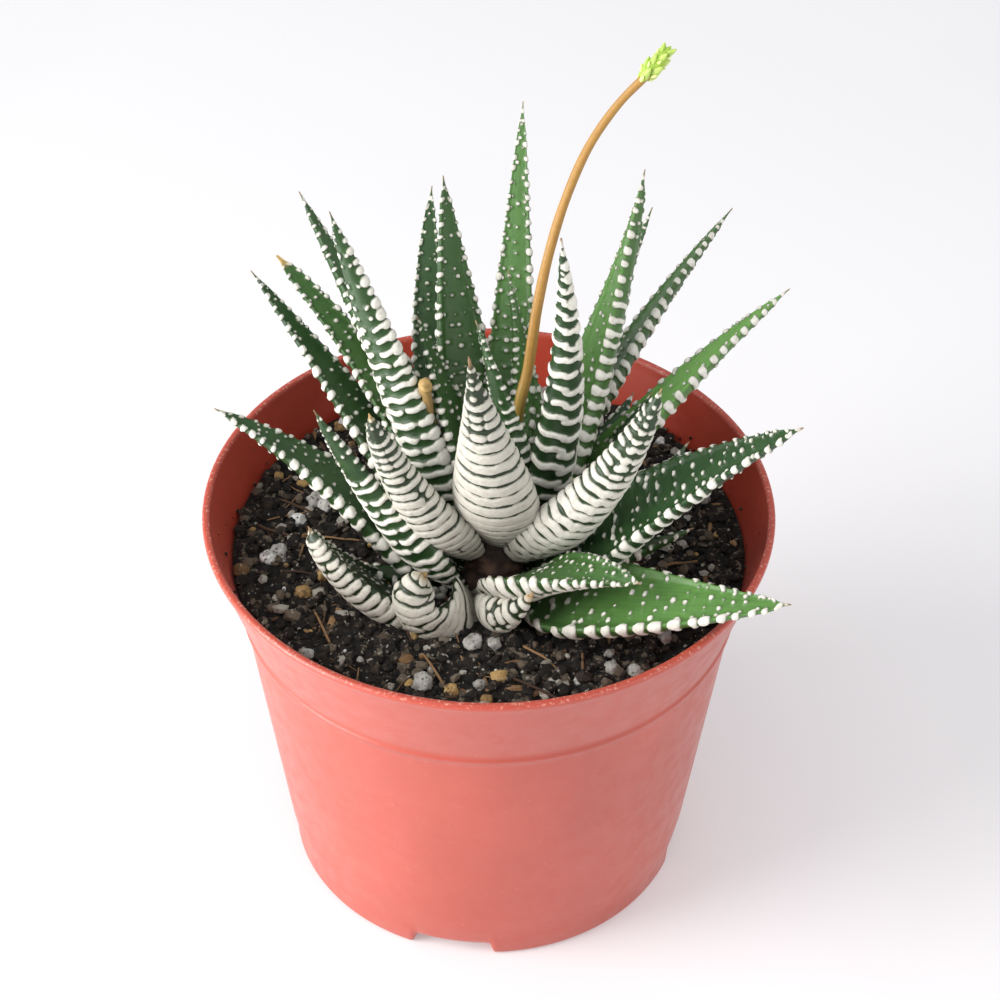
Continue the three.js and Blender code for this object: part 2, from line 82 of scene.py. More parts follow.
# Stem: it leans back, and its radius follows the height.
LEAN = math.radians(20)
AXIS = np.array([0, math.sin(LEAN), math.cos(LEAN)])
CROWN = np.array([1.0, -7.0, 80.0])
STEM_RINGS = [
    (58, 2.5), (60, 4.5), (64, 5), (67, 5.5), (70, 6), (72, 5), (75, 4), (78, 2.2), (80, 1.2),
]
STEM_SPAN = (57.4, 81)
STEM_MESH = (60, 40)

# Roots: azimuth, reach, drop and radius.
ROOTS = [(20, 25, 30, 1.7), (85, 32, 26, 1.8), (150, 28, 34, 1.6), (215, 18, 28, 1.8), (300, 15, 32, 1.6)]
ROOT_START_HEIGHT = 60
ROOT_SWAY = 18
ROOT_MESH = (40, 12)

# Leaves, from leaf_01 on: seat azimuth and height on the stem; turn (azimuth) and its change to the
# tip; lift (elevation) and its change; length, width; roll and twist of the blade; tip width share;
# then, where they aren't 1, how pointed the blade is and how late along its length it curls.
LEAVES = [
    (120, 75, 125, 6, 40, 1, 69, 11, 4, 0, 0.05),
    (140, 74, 139, 22, 60, 11, 68, 13, 15, 0, 0.05),
    (125, 73, 125, 14, 42, -18, 64, 9, -23, 0, 0.2),
    (137, 70, 133, 6, 37, -5, 65, 10.5, -9, 0, 0.05),
    (165, 65, 161, 12, 53, -27, 57, 13, -22, 0, 0.05),
    (191, 69, 185, -5, 56, 6, 47, 11.5, 2, 0, 0.05),
    (210, 75, 213, -16, 52, 23, 43, 9.5, 24, 0, 0.08, 0.7),
    (193, 65, 192, -15, 14, 49, 35, 16.5, 6, -20, 0.05, 0.8),
    (236, 67, 220, -25, 8, 140, 21.5, 13, 141, -222, 0.1, 0.65, 2),
    (264, 68, 263, 100, 15, 49, 18, 7, -35, -87, 0.1),
    (266, 70, 331, -5, 54, -50, 34, 12.5, -27, 80, 0.05),
    (359, 70, 1, 6, 16, 8, 30, 7.5, 5, 0, 0.05),
    (314, 70, 322, 25, 23, -10, 52, 16, 37, 0, 0.05),
    (352, 69, 351, -7, 53, -17, 63.5, 15.5, 45, 0, 0.05),
    (29, 73, 32, -10, 45, -13, 66, 11, 9, 0, 0.05),
    (327, 75, 328, 6, 48, 26, 55, 10, -35, 0, 0.05, 0.8),
    (56, 73, 59, -15, 37, -11, 74, 10, -19, 0, 0.05),
    (43, 74, 48, 7, 51, 20, 71, 13.5, 13, 0, 0.05),
    (59, 73, 60, -6, 42, 8, 65, 8, -1, 0, 0.05),
    (4, 74, 4, 56, 70, 31, 69, 8, -5, 0, 0.05),
    (78, 74, 85, 1, 52, 5, 77, 9.5, -5, 0, 0.05),
    (103, 76, 104, -2, 48, 12, 63, 13.5, 7, 0, 0.05),
    (109, 73, 115, -30, 32, 2, 69, 11, 0, 0, 0.05),
    (133, 78, 132, 5, 73, -14, 41, 9, -38, 0, 0.05),
    (82, 75, 137, 5, 108, -48, 48, 9, -7, 0, 0.05),
    (45, 71, 72, 46, 55, 8, 52, 8.5, 13, 0, 0.05),
    (297, 78, 264, -25, 68, 7, 56, 14, -5, 0, 0.05, 1.5),
    (14, 70, 18, 1, 27, 23, 37, 11.5, -9, 0, 0.05),
    (4, 71, 4, 0, 31, 8, 27, 10, 0, 0, 0.05),
    (30, 73, 31, 0, 40, 8, 37, 10, 0, 0, 0.05),
    (75, 70, 75, 0, 12, 12, 38, 11, 0, 0, 0.05),
    (108, 70, 108, 0, 10, 12, 36, 11, 0, 0, 0.05),
    (55, 70, 55, 0, 16, 12, 40, 11, 0, 0, 0.05),
    (128, 70, 128, 0, 10, 12, 36, 11, 0, 0, 0.05),
    (190, 69, 168, 0, 2, 4, 20, 8, 0, 0, 0.05),
]
LEAF_KEYS = (
    "seat", "height", "turn", "sway", "lift", "curl", "length", "width", "roll", "twist", "tip", "point",
    "hook",
)
COURSE_STEPS = 240
LEAF_FOOT = 2
FOOT_SHARE = 0.42
WIDEST_AT = 0.25
THINNEST = 0.35
DEPTH_SHARE = 0.36
INNER_SHARE = 0.4

# How each leaf is marked. cover is the share of the outer face under white bands at the foot, at the
# middle and, where it isn't 0.42, at the tip; broken is where along the leaf a band breaks into beads,
# and pearls where single pearls are left; joined bands run straight over the keel; cut is how often a
# band has a gap; pitch is the distance between bands; beads is the size of the margins' beads, on the
# two sides; dots and pearl_size are how many pearls the inner face has and how large; lit_tone is how
# light the green is, partly the leaf's own green and partly painted light and shade, lighter for
# leaves in the light and darker for shaded ones; grey_and_gap_shade is how grey the white is and how
# dark the painted shade of the green between the bands is; dry is the length of the withered tip and
# straw how yellow it is; spacing is the distance between the mesh's rings, and around the points of a ring.
PLAIN_LOOK = dict(
    cover=(0.64, 0.5), broken=0.5, pearls=0.7, joined=False, cut=0.5, pitch=2.9, beads=(1, 1), dots=1,
    pearl_size=1, lit_tone=0.45, grey_and_gap_shade=0, dry=0.6, straw=0.3, spacing=0.26, around=50,
)
WHITE = dict(joined=True, lit_tone=0.2, grey_and_gap_shade=1, around=72)
HIDDEN = dict(spacing=0.4, around=36, lit_tone=0.2)
LOOKS = {
    1: dict(cover=(0.7, 0.6), broken=0.6, pitch=3, lit_tone=0.4),
    2: dict(cover=(0.62, 0.55), broken=0.6, lit_tone=0.35, pitch=2.6, beads=(1.7, 1)),
    3: dict(dry=2.2, straw=1, lit_tone=0.5),
    4: dict(lit_tone=0.25, dots=0.8, beads=(1.2, 1)),
    5: dict(lit_tone=0.3, dots=1.1, beads=(1.4, 1.1)),
    6: dict(cover=(0.66, 0.56), broken=0.7, lit_tone=0.25, pitch=2.5, cut=0.35),
    7: dict(
        WHITE, cover=(0.92, 0.86, 0.55), broken=0.72, pearls=0.88, pitch=2.1, cut=0.22, dry=0.9, straw=0.8,
        around=64, grey_and_gap_shade=0.9,
    ),
    8: dict(WHITE, cover=(0.92, 0.9, 0.8), broken=0.86, pearls=0.95, pitch=2, cut=0.15, grey_and_gap_shade=0.9),
    9: dict(
        WHITE, cover=(0.93, 0.92, 0.86), broken=0.94, pearls=0.98, pitch=2, cut=0.15, straw=0.5,
        spacing=0.16,
    ),
    10: dict(
        WHITE, cover=(0.92, 0.9, 0.8), broken=0.9, pearls=0.98, pitch=2, cut=0.2, dry=1.2, straw=0.5,
        spacing=0.16, around=50,
    ),
    11: dict(cover=(0.9, 0.86, 0.7), broken=0.86, pearls=0.94, pitch=2, lit_tone=0.5, cut=0.2),
    12: dict(lit_tone=0.35),
    13: dict(lit_tone=0.75, pitch=3.2, dots=0.95, beads=(1, 1.5), pearl_size=1.25),
    14: dict(lit_tone=0.2, pearl_size=1.2, dots=0.95, beads=(1, 1.3)),
    15: dict(lit_tone=0.95, pitch=3.2, dots=0.7, beads=(1, 1.2)),
    16: dict(
        cover=(0.9, 0.8, 0.5), broken=0.62, pearls=0.84, pitch=2.6, straw=0.7, cut=0.2, lit_tone=0.25,
        beads=(1.5, 1.2), grey_and_gap_shade=0.5,
    ),
    17: dict(lit_tone=0.55, dots=0.6, beads=(1, 1.3)),
    18: dict(cover=(0.6, 0.5), lit_tone=0.75, beads=(1, 1.3)),
    20: dict(cover=(0.54, 0.46), broken=0.8, pearls=0.88, pitch=3.5, lit_tone=0.2, beads=(1.9, 1), cut=0.3),
    21: dict(lit_tone=0.65),
    23: dict(lit_tone=0.3),
    24: dict(lit_tone=0.35, pitch=2.5),
    25: dict(lit_tone=0.35, pitch=2.3),
    26: dict(lit_tone=0.6, pitch=2.2),
    27: dict(
        WHITE, cover=(0.9, 0.87, 0.6), broken=0.64, pearls=0.84, pitch=3.1, cut=0.12, dry=2, straw=0.25,
        spacing=0.2,
    ),
    **{number: HIDDEN for number in range(28, 36)},
}

# Bands, beads and pearls. A pair is a range: pitch and a band's radius are factors, wave and bow are
# in millimetres, a bead's size is a factor and a pearl's in millimetres, and both end up within
# radius. shift is a share of the pitch, inset is how far a band ends before the margin, rise is how
# high a mark stands, and chance is how many pearls are kept. LAST_MARK is the share of the length
# where the marks end, and FLATNESS how flat their tops are, more so where bands are joined.
BAND = {
    "pitch": (0.9, 1.1), "radius": (0.93, 1.07), "wave": (0.08, 0.32), "joined_wave": (0.06, 0.14),
    "bow": (0.1, 0.45), "shift": 0.12, "inset": 0.25, "rise": 0.85,
}
BEAD = {"size": (0.65, 1.15), "radius": (0.26, 0.8), "rise": 0.85}
PEARL = {"pitch": (0.8, 1.2), "size": (0.24, 0.5), "radius": (0.18, 0.55), "chance": 0.72, "rise": 0.9}
LAST_MARK = 0.985
FLATNESS = 2.6
JOINED_FLATNESS = 4.5

# Flower stalk, bud head and the two stubs of old stalks: points with a radius each. A mesh is given
# by its number of rings and of points in a ring.
FLOWER_STALK = [
    (1.5, -6.5, 72, 1.1), (2, -4, 77, 1.1), (3.6, -1.8, 88, 1.05), (5.2, 0, 101, 1),
    (6.4, 2, 106, 0.95), (7.8, 4, 117.5, 0.9), (9.5, 7, 126, 0.85), (12.1, 9, 136, 0.8),
    (16, 11, 146, 0.75), (20.7, 13, 153, 0.7), (25.2, 14, 158, 0.7),
]
BUD_CORE = [(24.6, 13.8, 157.2, 0.9), (26.2, 14.3, 159.3, 1.3), (28, 14.8, 161.6, 1.1), (29, 15, 163, 0.5)]
BUD = {"length": 1.7, "radius": 0.72, "slant": 0.45}
BRACT = {"length": 0.95, "radius": 0.34, "slant": 0.8}
BUD_COUNT = 13
BUD_SPREAD = 0.95
BUD_TURN = 137.5
BUD_MESH = (12, 14)
DRY_STUB = [
    (-1, -8, 74, 0.95), (-4.8, -4.6, 79, 0.95), (-7.6, -2, 87, 0.85), (-9.8, -2, 98, 0.8),
    (-10.6, -2, 104, 0.8), (-10.8, -2, 105.6, 1.15), (-10.9, -2, 107, 0.9),
]
CUT_STUB = [(2, -8, 74, 1.2), (8.5, -5.2, 80, 1.2), (12.6, -4.4, 85, 1.2), (14.2, -4, 87.6, 1.15)]

# Piece, CAD node, slot, points, mesh, and the waves of the skin: size, number round and along.
STALKS = [
    (
        "flower_stalk_skin", "flower_stalk", "flower_stalk", FLOWER_STALK, (160, 24),
        [(0.03, 5, 4), (0.02, 0, 60)],
    ),
    ("dry_stub_skin", "dry_stalk_stub", "dry_stalk", DRY_STUB, (90, 22), [(0.09, 4, 9), (0.05, 2, 43)]),
    ("cut_stub_skin", "cut_stalk_stub", "cut_stalk", CUT_STUB, (50, 24), [(0.05, 5, 0), (0.03, 0, 30)]),
]

# Loose grains on the soil: their number; the least distance from the middle and how much more; the
# least size, how much more and the power of its spread; the share of it that is lifted out of the
# soil; how far each is stretched three ways, as a number or a range; fineness and roughness.
SCATTER = {
    "crumbs": (5200, (0, 44.4), (0.22, 1.25, 3), 0.3, (1, (0.6, 1.2), (0.5, 0.9)), 1, 0.5),
    "perlite": (80, (8, 36), (0.3, 1.9, 3), 0.35, (1, (0.7, 1), (0.6, 0.9)), 3, 0.35),
    "bark": (130, (5, 39), (0.3, 0.6, 2), 0.3, ((1.2, 3.0), (0.5, 1.0), 0.5), 2, 0.45),
    "stones": (70, (10, 34), (0.5, 1.1, 2), 0.3, (1, (0.7, 1), (0.6, 0.9)), 3, 0.3),
}
WALL_CRUMBS = {"count": 90, "from": 67.6, "reach": 7}
FIBRES = {"count": 75, "ring": (5, 38), "outermost": 44, "stations": 12, "sides": 5}

# The larger pieces on the soil at the front: place, radius and kind, and straws by ends and radius.
LARGE_GRAINS = [
    (-11.1, -35.6, 2, "perlite"), (-2.5, -26, 1.8, "perlite"), (1, -26.3, 1.5, "perlite"),
    (21, -31.5, 1.6, "perlite"), (25, -32, 1.5, "perlite"), (-37, -3, 2, "perlite"),
    (-34, 6, 1.5, "perlite"), (-6.3, -36.8, 1.3, "stones"), (1.8, -34, 1.6, "stones"),
    (-32, -12.9, 1.5, "stones"), (-13.9, -29.9, 1.4, "stones"), (33, -19, 1.3, "stones"),
]
STRAWS = [
    (-11, -29, -7.5, -36, 0.22), (4, -34.5, 12, -39.5, 0.26), (16, -27.5, 16, -34.5, 0.28),
    (-30, -18, -27, -26, 0.24), (-36, -8, -30, -9, 0.2), (28, -24, 35, -21, 0.22),
]

# Lights, in metres and watts: place, target, size, power and colour. Then the world, and the floor's
# reach in metres.
LIGHTS = {
    "window": ((-0.75, -0.25, 0.55), (0, 0, 0.06), 0.6, 6.8, (1, 0.985, 0.965)),
    "top": ((-0.1, -0.3, 1.0), (0, 0, 0.05), 0.7, 1.2, (1, 1, 1)),
    "fill": ((0.6, -0.5, 0.35), (0, 0, 0.04), 0.5, 1.8, (1, 0.98, 0.96)),
    "low": ((-0.28, -0.13, 0.05), (-0.04, -0.02, 0.035), 0.2, 0.9, (1, 1, 1)),
}
WORLD_COLOUR = (0.95, 0.97, 1.0, 1)
WORLD_STRENGTH = 0.58
FLOOR_REACH = 3

# Camera: from the photograph's viewing angle.
CAMERA_ELEVATION = 41.2
CAMERA_DISTANCE = 550
CAMERA_AIM_HEIGHT = 80
CAMERA_PAN = 0.2
CAMERA_TILT = -0.1
CAMERA_ROLL = 0.5
CAMERA_LENS = 113.7
CAMERA_SENSOR = 36


def clamp01(value):
    return np.clip(value, 0, 1)


def smooth(value):
    """Runs smoothly from 0 to 1 while value does."""
    t = clamp01(value)
    return t * t * (3 - 2 * t)


def unit(vectors):
    return vectors / np.linalg.norm(vectors, axis=-1, keepdims=True)


# Mesh.
def mesh_object(name, points, faces, material, attributes=None, smooth_shading=True):
    """An object that rides on the root body, from points in millimetres and a list of face arrays."""
    mesh = bpy.data.meshes.new(name)
    points = np.asarray(points, float) * MM
    loops = np.concatenate([block.ravel() for block in faces])
    sizes = np.concatenate([np.full(len(block), block.shape[1]) for block in faces])
    mesh.vertices.add(len(points))
    mesh.vertices.foreach_set("co", points.astype(np.float32).ravel())
    mesh.loops.add(len(loops))
    mesh.loops.foreach_set("vertex_index", loops.astype(np.int32))
    mesh.polygons.add(len(sizes))
    mesh.polygons.foreach_set("loop_start", (np.cumsum(sizes) - sizes).astype(np.int32))
    for key, values in (attributes or {}).items():
        layer = mesh.attributes.new(key, "FLOAT", "POINT")
        layer.data.foreach_set("value", np.asarray(values, np.float32).ravel())
    mesh.update(calc_edges=True)
    mesh.validate()
    mesh.polygons.foreach_set("use_smooth", [smooth_shading] * len(mesh.polygons))
    mesh.materials.append(material)
    piece = bpy.data.objects.new(name, mesh)
    bpy.context.scene.collection.objects.link(piece)
    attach(piece, "root")
    return piece


def tube_faces(rows, around):
    """Quads of a skin over rows of closed rings, which face out where the rings run clockwise seen
    from the end."""
    row, side = np.meshgrid(np.arange(rows - 1), np.arange(around), indexing="ij")
    a = row * around + side
    b = row * around + (side + 1) % around
    return np.stack([a, a + around, b + around, b], -1).reshape(-1, 4)


def end_fans(rows, around, first_tip, last_tip):
    """Triangles that close the two ends of such a skin to one point each."""
    side = np.arange(around)
    after = (side + 1) % around
    last = (rows - 1) * around
    start = np.stack([np.full(around, first_tip), side, after], -1)
    end = np.stack([np.full(around, last_tip), last + after, last + side], -1)
    return np.concatenate([start, end])


def closed_skin(grid, first_tip, last_tip):
    """Points, quads and end triangles of a skin over a grid of rings, closed by a point at each end."""
    rows, around = grid.shape[:2]
    count = rows * around
    points = np.vstack([grid.reshape(-1, 3), first_tip, last_tip])
    return points, tube_faces(rows, around), end_fans(rows, around, count, count + 1)


def joined_skins(skins):
    """The points and the faces of several skins in one mesh."""
    starts = np.cumsum([0] + [len(points) for points, _, _ in skins])
    faces = [np.concatenate([skin[kind] + start for skin, start in zip(skins, starts)]) for kind in (1, 2)]
    return np.concatenate([skin[0] for skin in skins]), faces


def rings_round(centres, side, other, reach, angle):
    """A grid of rings round centres, in the planes of side and other."""
    side, other = (np.broadcast_to(way, centres.shape)[:, None] for way in (side, other))
    return (
        centres[:, None] + side * (reach * np.cos(angle))[..., None]
        + other * (reach * np.sin(angle))[..., None]
    )


def clockwise(around):
    return -2 * math.pi * np.arange(around) / around


# Leaves.
def stem_middle(height):
    return CROWN + AXIS * (height - CROWN[2]) / AXIS[2]


def leaf_course(leaf):
    """Shares, points, directions, and vectors across and inward, at even steps of a leaf's middle line."""

    def direction(u):
        azimuth = np.radians(leaf["turn"] + leaf["sway"] * u)
        elevation = np.radians(leaf["lift"] + leaf["curl"] * u ** leaf["hook"])
        flat = np.cos(elevation)
        return np.stack([flat * np.cos(azimuth), flat * np.sin(azimuth), np.sin(elevation)], -1)

    u = np.linspace(0, 1, COURSE_STEPS + 1)
    seat = math.radians(leaf["seat"])
    out = np.array([math.cos(seat), math.sin(seat), 0])
    out = unit(out - AXIS * (out @ AXIS))
    heights, radii = zip(*STEM_RINGS)
    start = stem_middle(leaf["height"]) + out * np.interp(leaf["height"], heights, radii)
    steps = direction((u[:-1] + u[1:]) / 2) * leaf["length"] / COURSE_STEPS
    points = np.vstack([start, start + np.cumsum(steps, 0)])
    along = direction(u)
    inward = unit(AXIS - (along @ AXIS)[:, None] * along)
    across = np.cross(along, inward)
    roll = np.radians(leaf["roll"] + leaf["twist"] * u)[:, None]
    return (
        u, points, along,
        across * np.cos(roll) - inward * np.sin(roll),
        inward * np.cos(roll) + across * np.sin(roll),
    )


def along_course(course, u):
    steps = course[0]
    return [np.stack([np.interp(u, steps, track[:, i]) for i in range(3)], -1) for track in course[1:]]


def blade_share(u, leaf):
    rising = FOOT_SHARE + (1 - FOOT_SHARE) * np.sin(np.clip(u / WIDEST_AT, 0, 1) * math.pi / 2)
    past = clamp01((u - WIDEST_AT) / (1 - WIDEST_AT))
    tip, point = leaf["tip"], leaf["point"]
    falling = tip + (1 - tip) * (1 - past ** (0.75 + 0.5 * point)) ** point
    return np.where(u < WIDEST_AT, rising, falling)


def section(half_width, depth, inner, around):
    """Rings of a blade's cross-section: across and inward values, with the inner face first."""
    inner_count = int(around * INNER_SHARE)
    outer_count = around - inner_count
    share = np.arange(inner_count) / inner_count
    x = 1 - smooth(share) - share
    lips = 0.12 * np.exp(-((np.abs(x) - 0.93) / 0.1) ** 2)
    x_in = half_width[:, None] * x
    y_in = inner[:, None] * (1 - x ** 2) + half_width[:, None] * lips
    turn = np.linspace(-math.pi / 2, math.pi / 2, outer_count, endpoint=False)
    x_out = half_width[:, None] * np.sign(np.sin(turn)) * np.abs(np.sin(turn)) ** 1.08
    y_out = -depth[:, None] * np.abs(np.cos(turn)) ** 1.08
    return np.hstack([x_in, x_out]), np.hstack([y_in, y_out]), inner_count


def leaf_marks(leaf, look, draw, margin_at, seed):
    """Bands, beads and pearls as rows of side (-1, 1, or 0 on the inner face), place along, first
    and last place across, radius, rise, bow, wave and its phase. margin_at gives the distance from
    the keel to the margin at a place along the leaf."""
    marks = []
    length = leaf["length"]
    share_at = lambda s: float(blade_share(np.array(s / length), leaf))
    for side in (-1, 1):
        if look["joined"]:
            draw = np.random.default_rng(seed)
        bead_size = look["beads"][0 if side < 0 else 1]
        s = draw.uniform(0.2, 1.2)
        while s < length * LAST_MARK:
            u = s / length
            share = share_at(s)
            pitch = look["pitch"] * (0.62 + 0.38 * share) * draw.uniform(*BAND["pitch"])
            cover = np.interp(u, [0, 0.5, 1], (*look["cover"], 0.42)[:3])
            radius = 0.5 * pitch * cover * draw.uniform(*BAND["radius"])
            reach = margin_at(s)
            wave = draw.uniform(*BAND["joined_wave" if look["joined"] else "wave"])
            phase = draw.uniform(0, 6.28)
            bow = draw.uniform(*BAND["bow"])
            place = s + draw.uniform(-BAND["shift"], BAND["shift"]) * pitch
            small = min(radius, 0.42 * pitch, max(0.2, 0.5 * reach))
            if u < look["broken"] and draw.random() > 0.08:
                ends = [(-0.12 * side, reach - BAND["inset"])]
                if draw.random() < look["cut"] * (0.6 + u):
                    cut = draw.uniform(0.3, 0.7) * reach
                    gap = radius + 0.12
                    ends = [(-0.12, cut - gap), (cut + gap, reach - BAND["inset"])]
            elif u < look["pearls"]:
                cut = draw.uniform(0.35, 0.6) * reach
                ends = [(0.0, 0.12 * reach), (cut, reach - 0.2)]
            else:
                ends = [(0.0, 0.0)] if draw.random() < 0.8 else []
                if reach > 2.2 * small and draw.random() < 0.5:
                    ends.append((0.55 * reach, 0.55 * reach))
            for low, high in ends:
                high = max(high, low)
                thick = radius if high - low > 0.6 * radius else small * draw.uniform(0.75, 1)
                marks.append((side, place, low, high, thick, BAND["rise"], bow, wave, phase))
            bead = bead_size * draw.uniform(*BEAD["size"])
            bead *= np.clip(0.3 * pitch * (0.75 + 0.35 * share), *BEAD["radius"])
            marks.append((side, place + bow * 0.9, reach - 0.2, reach + 0.15, bead, BEAD["rise"], 0, 0, 0))
            s += pitch
    s = draw.uniform(1, 2)
    while s < length * LAST_MARK:
        u = s / length
        share = share_at(s)
        half = leaf["width"] / 2 * share
        pitch = look["pitch"] * 0.8 * draw.uniform(*PEARL["pitch"]) * (0.7 + 0.3 * share)
        columns = np.linspace(-0.72, 0.72, max(1, int(round(half * 0.85 * look["dots"]))) + 1)
        if half < 1.2:
            columns = np.array([draw.uniform(-0.4, 0.4)])
        for column in columns:
            if draw.random() > PEARL["chance"]:
                continue
            across = column * half + draw.uniform(-0.35, 0.35)
            size = np.clip(draw.uniform(*PEARL["size"]) * (0.7 + 0.5 * share), *PEARL["radius"])
            size *= look["pearl_size"]
            stretch = draw.uniform(0, 0.25) * size
            place = s + draw.uniform(-0.3, 0.3) * pitch
            marks.append((0, place, across - stretch, across + stretch, size, PEARL["rise"], 0, 0, 0))
        s += pitch
    return marks


def build_leaf(row, number):
    name = f"leaf_{number:02}"
    leaf = dict(zip(LEAF_KEYS, (*row, 1, 1)))
    look = {**PLAIN_LOOK, **LOOKS.get(number, {})}
    draw = np.random.default_rng(LEAF_SEED + number)
    course = leaf_course(leaf)
    rows = int(leaf["length"] / look["spacing"]) + 1
    s = np.linspace(0, leaf["length"], rows)
    u = s / leaf["length"]
    share = blade_share(u, leaf)
    fine_tip = smooth((1 - u) / 0.07)
    half_width = np.maximum(leaf["width"] / 2 * share, THINNEST) * (0.3 + 0.7 * fine_tip)
    swell = 0.55 + 0.45 * clamp01(u / 0.3)
    depth = np.maximum(leaf["width"] * DEPTH_SHARE * share ** 0.8 * swell, 0.6) * (0.3 + 0.7 * fine_tip)
    inner = 0.15 * depth - 0.08 * half_width
    around = look["around"]
    x, y, inner_count = section(half_width, depth, inner, around)

    # Distance round each ring, from the right margin over the inner face to the left margin and on.
    step = np.hypot(np.diff(x, axis=1, append=x[:, :1]), np.diff(y, axis=1, append=y[:, :1]))
    travelled = np.hstack([np.zeros((rows, 1)), np.cumsum(step, 1)])
    inner_width = travelled[:, inner_count][:, None]
    total = travelled[:, -1][:, None]
    place = travelled[:, :-1]
    margin = (total - inner_width) / 2
    from_keel = place - inner_width - margin
    on_inner = np.arange(around) < inner_count
    right = np.where(on_inner, margin + place, from_keel)
    left = np.where(on_inner, margin + inner_width - place, -from_keel)
    middle = place - inner_width / 2

    ridge = np.full((rows, around), -1.0)
    height = np.zeros((rows, around))
    margin_at = lambda where: float(np.interp(where, s, margin[:, 0]))
    flatness = JOINED_FLATNESS if look["joined"] else FLATNESS
    marks = leaf_marks(leaf, look, draw, margin_at, MARKS_SEED + number)
    for side, at, low, high, radius, rise, bow, wave, phase in marks:
        first, last = np.searchsorted(s, [at - radius - 1.2, at + radius + 1.6])
        if last <= first:
            continue
        span = slice(first, last)
        q = middle[span] if side == 0 else (right[span] if side > 0 else left[span])
        reach = margin[span]
        beside = np.maximum(np.maximum(low - q, q - high), 0)
        offset = s[span][:, None] - at - bow * clamp01(q / reach) ** 2 - wave * np.sin(1.7 * q + phase)
        distance = np.hypot(beside, offset)
        if side == 0:
            distance = np.where(on_inner[None, :], distance, 9)
        inside = radius - distance
        ridge[span] = np.maximum(ridge[span], inside)
        dome = np.sqrt(np.maximum(1 - (distance / radius) ** flatness, 0))
        height[span] = np.maximum(height[span], dome * rise * min(0.55, 0.3 + 0.25 * radius))

    # Raise the marks square to the surface.
    dx = np.roll(x, -1, 1) - np.roll(x, 1, 1)
    dy = np.roll(y, -1, 1) - np.roll(y, 1, 1)
    size = np.maximum(np.hypot(dx, dy), 1e-6)
    height *= np.clip(half_width / 1.6, 0.25, 1)[:, None]
    x = x + height * dy / size
    y = y - height * dx / size
    points, along, across, inward = along_course(course, u)
    grid = points[:, None] + across[:, None] * x[..., None] + inward[:, None] * y[..., None]
    foot = grid[:1] - along[0] * LEAF_FOOT
    grid = np.vstack([foot, grid])
    shown, quads, fans = closed_skin(grid, foot[0].mean(0), grid[-1].mean(0) + along[-1] * 0.25)

    def spread(values):
        """Values of the rings, or of the leaf, for each point: those of the foot are the first ring's."""
        values = np.broadcast_to(values, (rows, around))
        flat = np.vstack([values[:1], values]).ravel()
        return np.append(flat, [flat[0], flat[-1]])

    attributes = {
        "ridge": ridge,
        "place": s[:, None],
        "share": u[:, None],
        "inner": np.where(on_inner, 1.0, 0.0),
        "across": np.where(on_inner, middle, from_keel),
        "dry": smooth((s - leaf["length"] + look["dry"] + 1) / 2)[:, None],
        "lit_tone": look["lit_tone"],
        "straw": look["straw"],
        "grey_and_gap_shade": look["grey_and_gap_shade"],
    }
    attributes = {key: spread(values) for key, values in attributes.items()}
    piece = mesh_object(name + "_skin", shown, [quads, fans], MATERIALS["leaf"], attributes)
    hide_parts(name)


# Stalks.
def rod_course(points, stations):
    """Centres, radii, two square ways and shares of a rod along a centripetal curve through points."""
    knots = np.array([p[:3] for p in points], float)
    padded = np.vstack([2 * knots[0] - knots[1], knots, 2 * knots[-1] - knots[-2]])
    place = np.linspace(0, len(knots) - 1, stations)
    centres = []
    for value in place:
        i = min(int(value), len(knots) - 2)
        before, start, end, after = padded[i:i + 4]
        gap_before, gap, gap_after = (
            max(math.sqrt(np.linalg.norm(b - a)), 1e-6)
            for a, b in ((before, start), (start, end), (end, after))
        )
        leaving = (start - before) / gap_before - (end - before) / (gap_before + gap) + (end - start) / gap
        arriving = (end - start) / gap - (after - start) / (gap + gap_after) + (after - end) / gap_after
        t = value - i
        centres.append(
            (2 * t ** 3 - 3 * t ** 2 + 1) * start + (t ** 3 - 2 * t ** 2 + t) * leaving * gap
            + (-2 * t ** 3 + 3 * t ** 2) * end + (t ** 3 - t ** 2) * arriving * gap
        )
    centres = np.array(centres)
    radius = np.interp(place, np.arange(len(knots)), [p[3] for p in points])
    tangent = unit(np.gradient(centres, axis=0))
    side = unit(np.cross([0.0, 1.0, 0.0], tangent))
    return centres, radius, side, np.cross(tangent, side), place / place[-1]


def rod_skin(points, stations, around, ripple=None, end=0):
    """The skin of a rod, and how far along it each ring is. ripple is a function of that share, the
    angle and the height."""
    centres, radius, side, other, share = rod_course(points, stations)
    angle = clockwise(around)
    reach = np.repeat(radius[:, None], around, 1)
    if ripple is not None:
        reach *= 1 + ripple(share[:, None], angle[None, :], centres[:, 2:3])
    last_tip = centres[-1] + unit(centres[-1] - centres[-2]) * radius[-1] * end
    return closed_skin(rings_round(centres, side, other, reach, angle), centres[0], last_tip), share


def build_stalk(name, node, slot, points, mesh, waves):
    def ripple(t, a, _):
        return sum(size * np.sin(rounds * a + along * t) for size, rounds, along in waves)

    (shown, quads, fans), share = rod_skin(points, *mesh, ripple, 0.4)
    run = np.append(np.repeat(share, mesh[1]), [0, 1])
    piece = mesh_object(name, shown, [quads, fans], MATERIALS[slot], {"share": run})
    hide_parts(node)


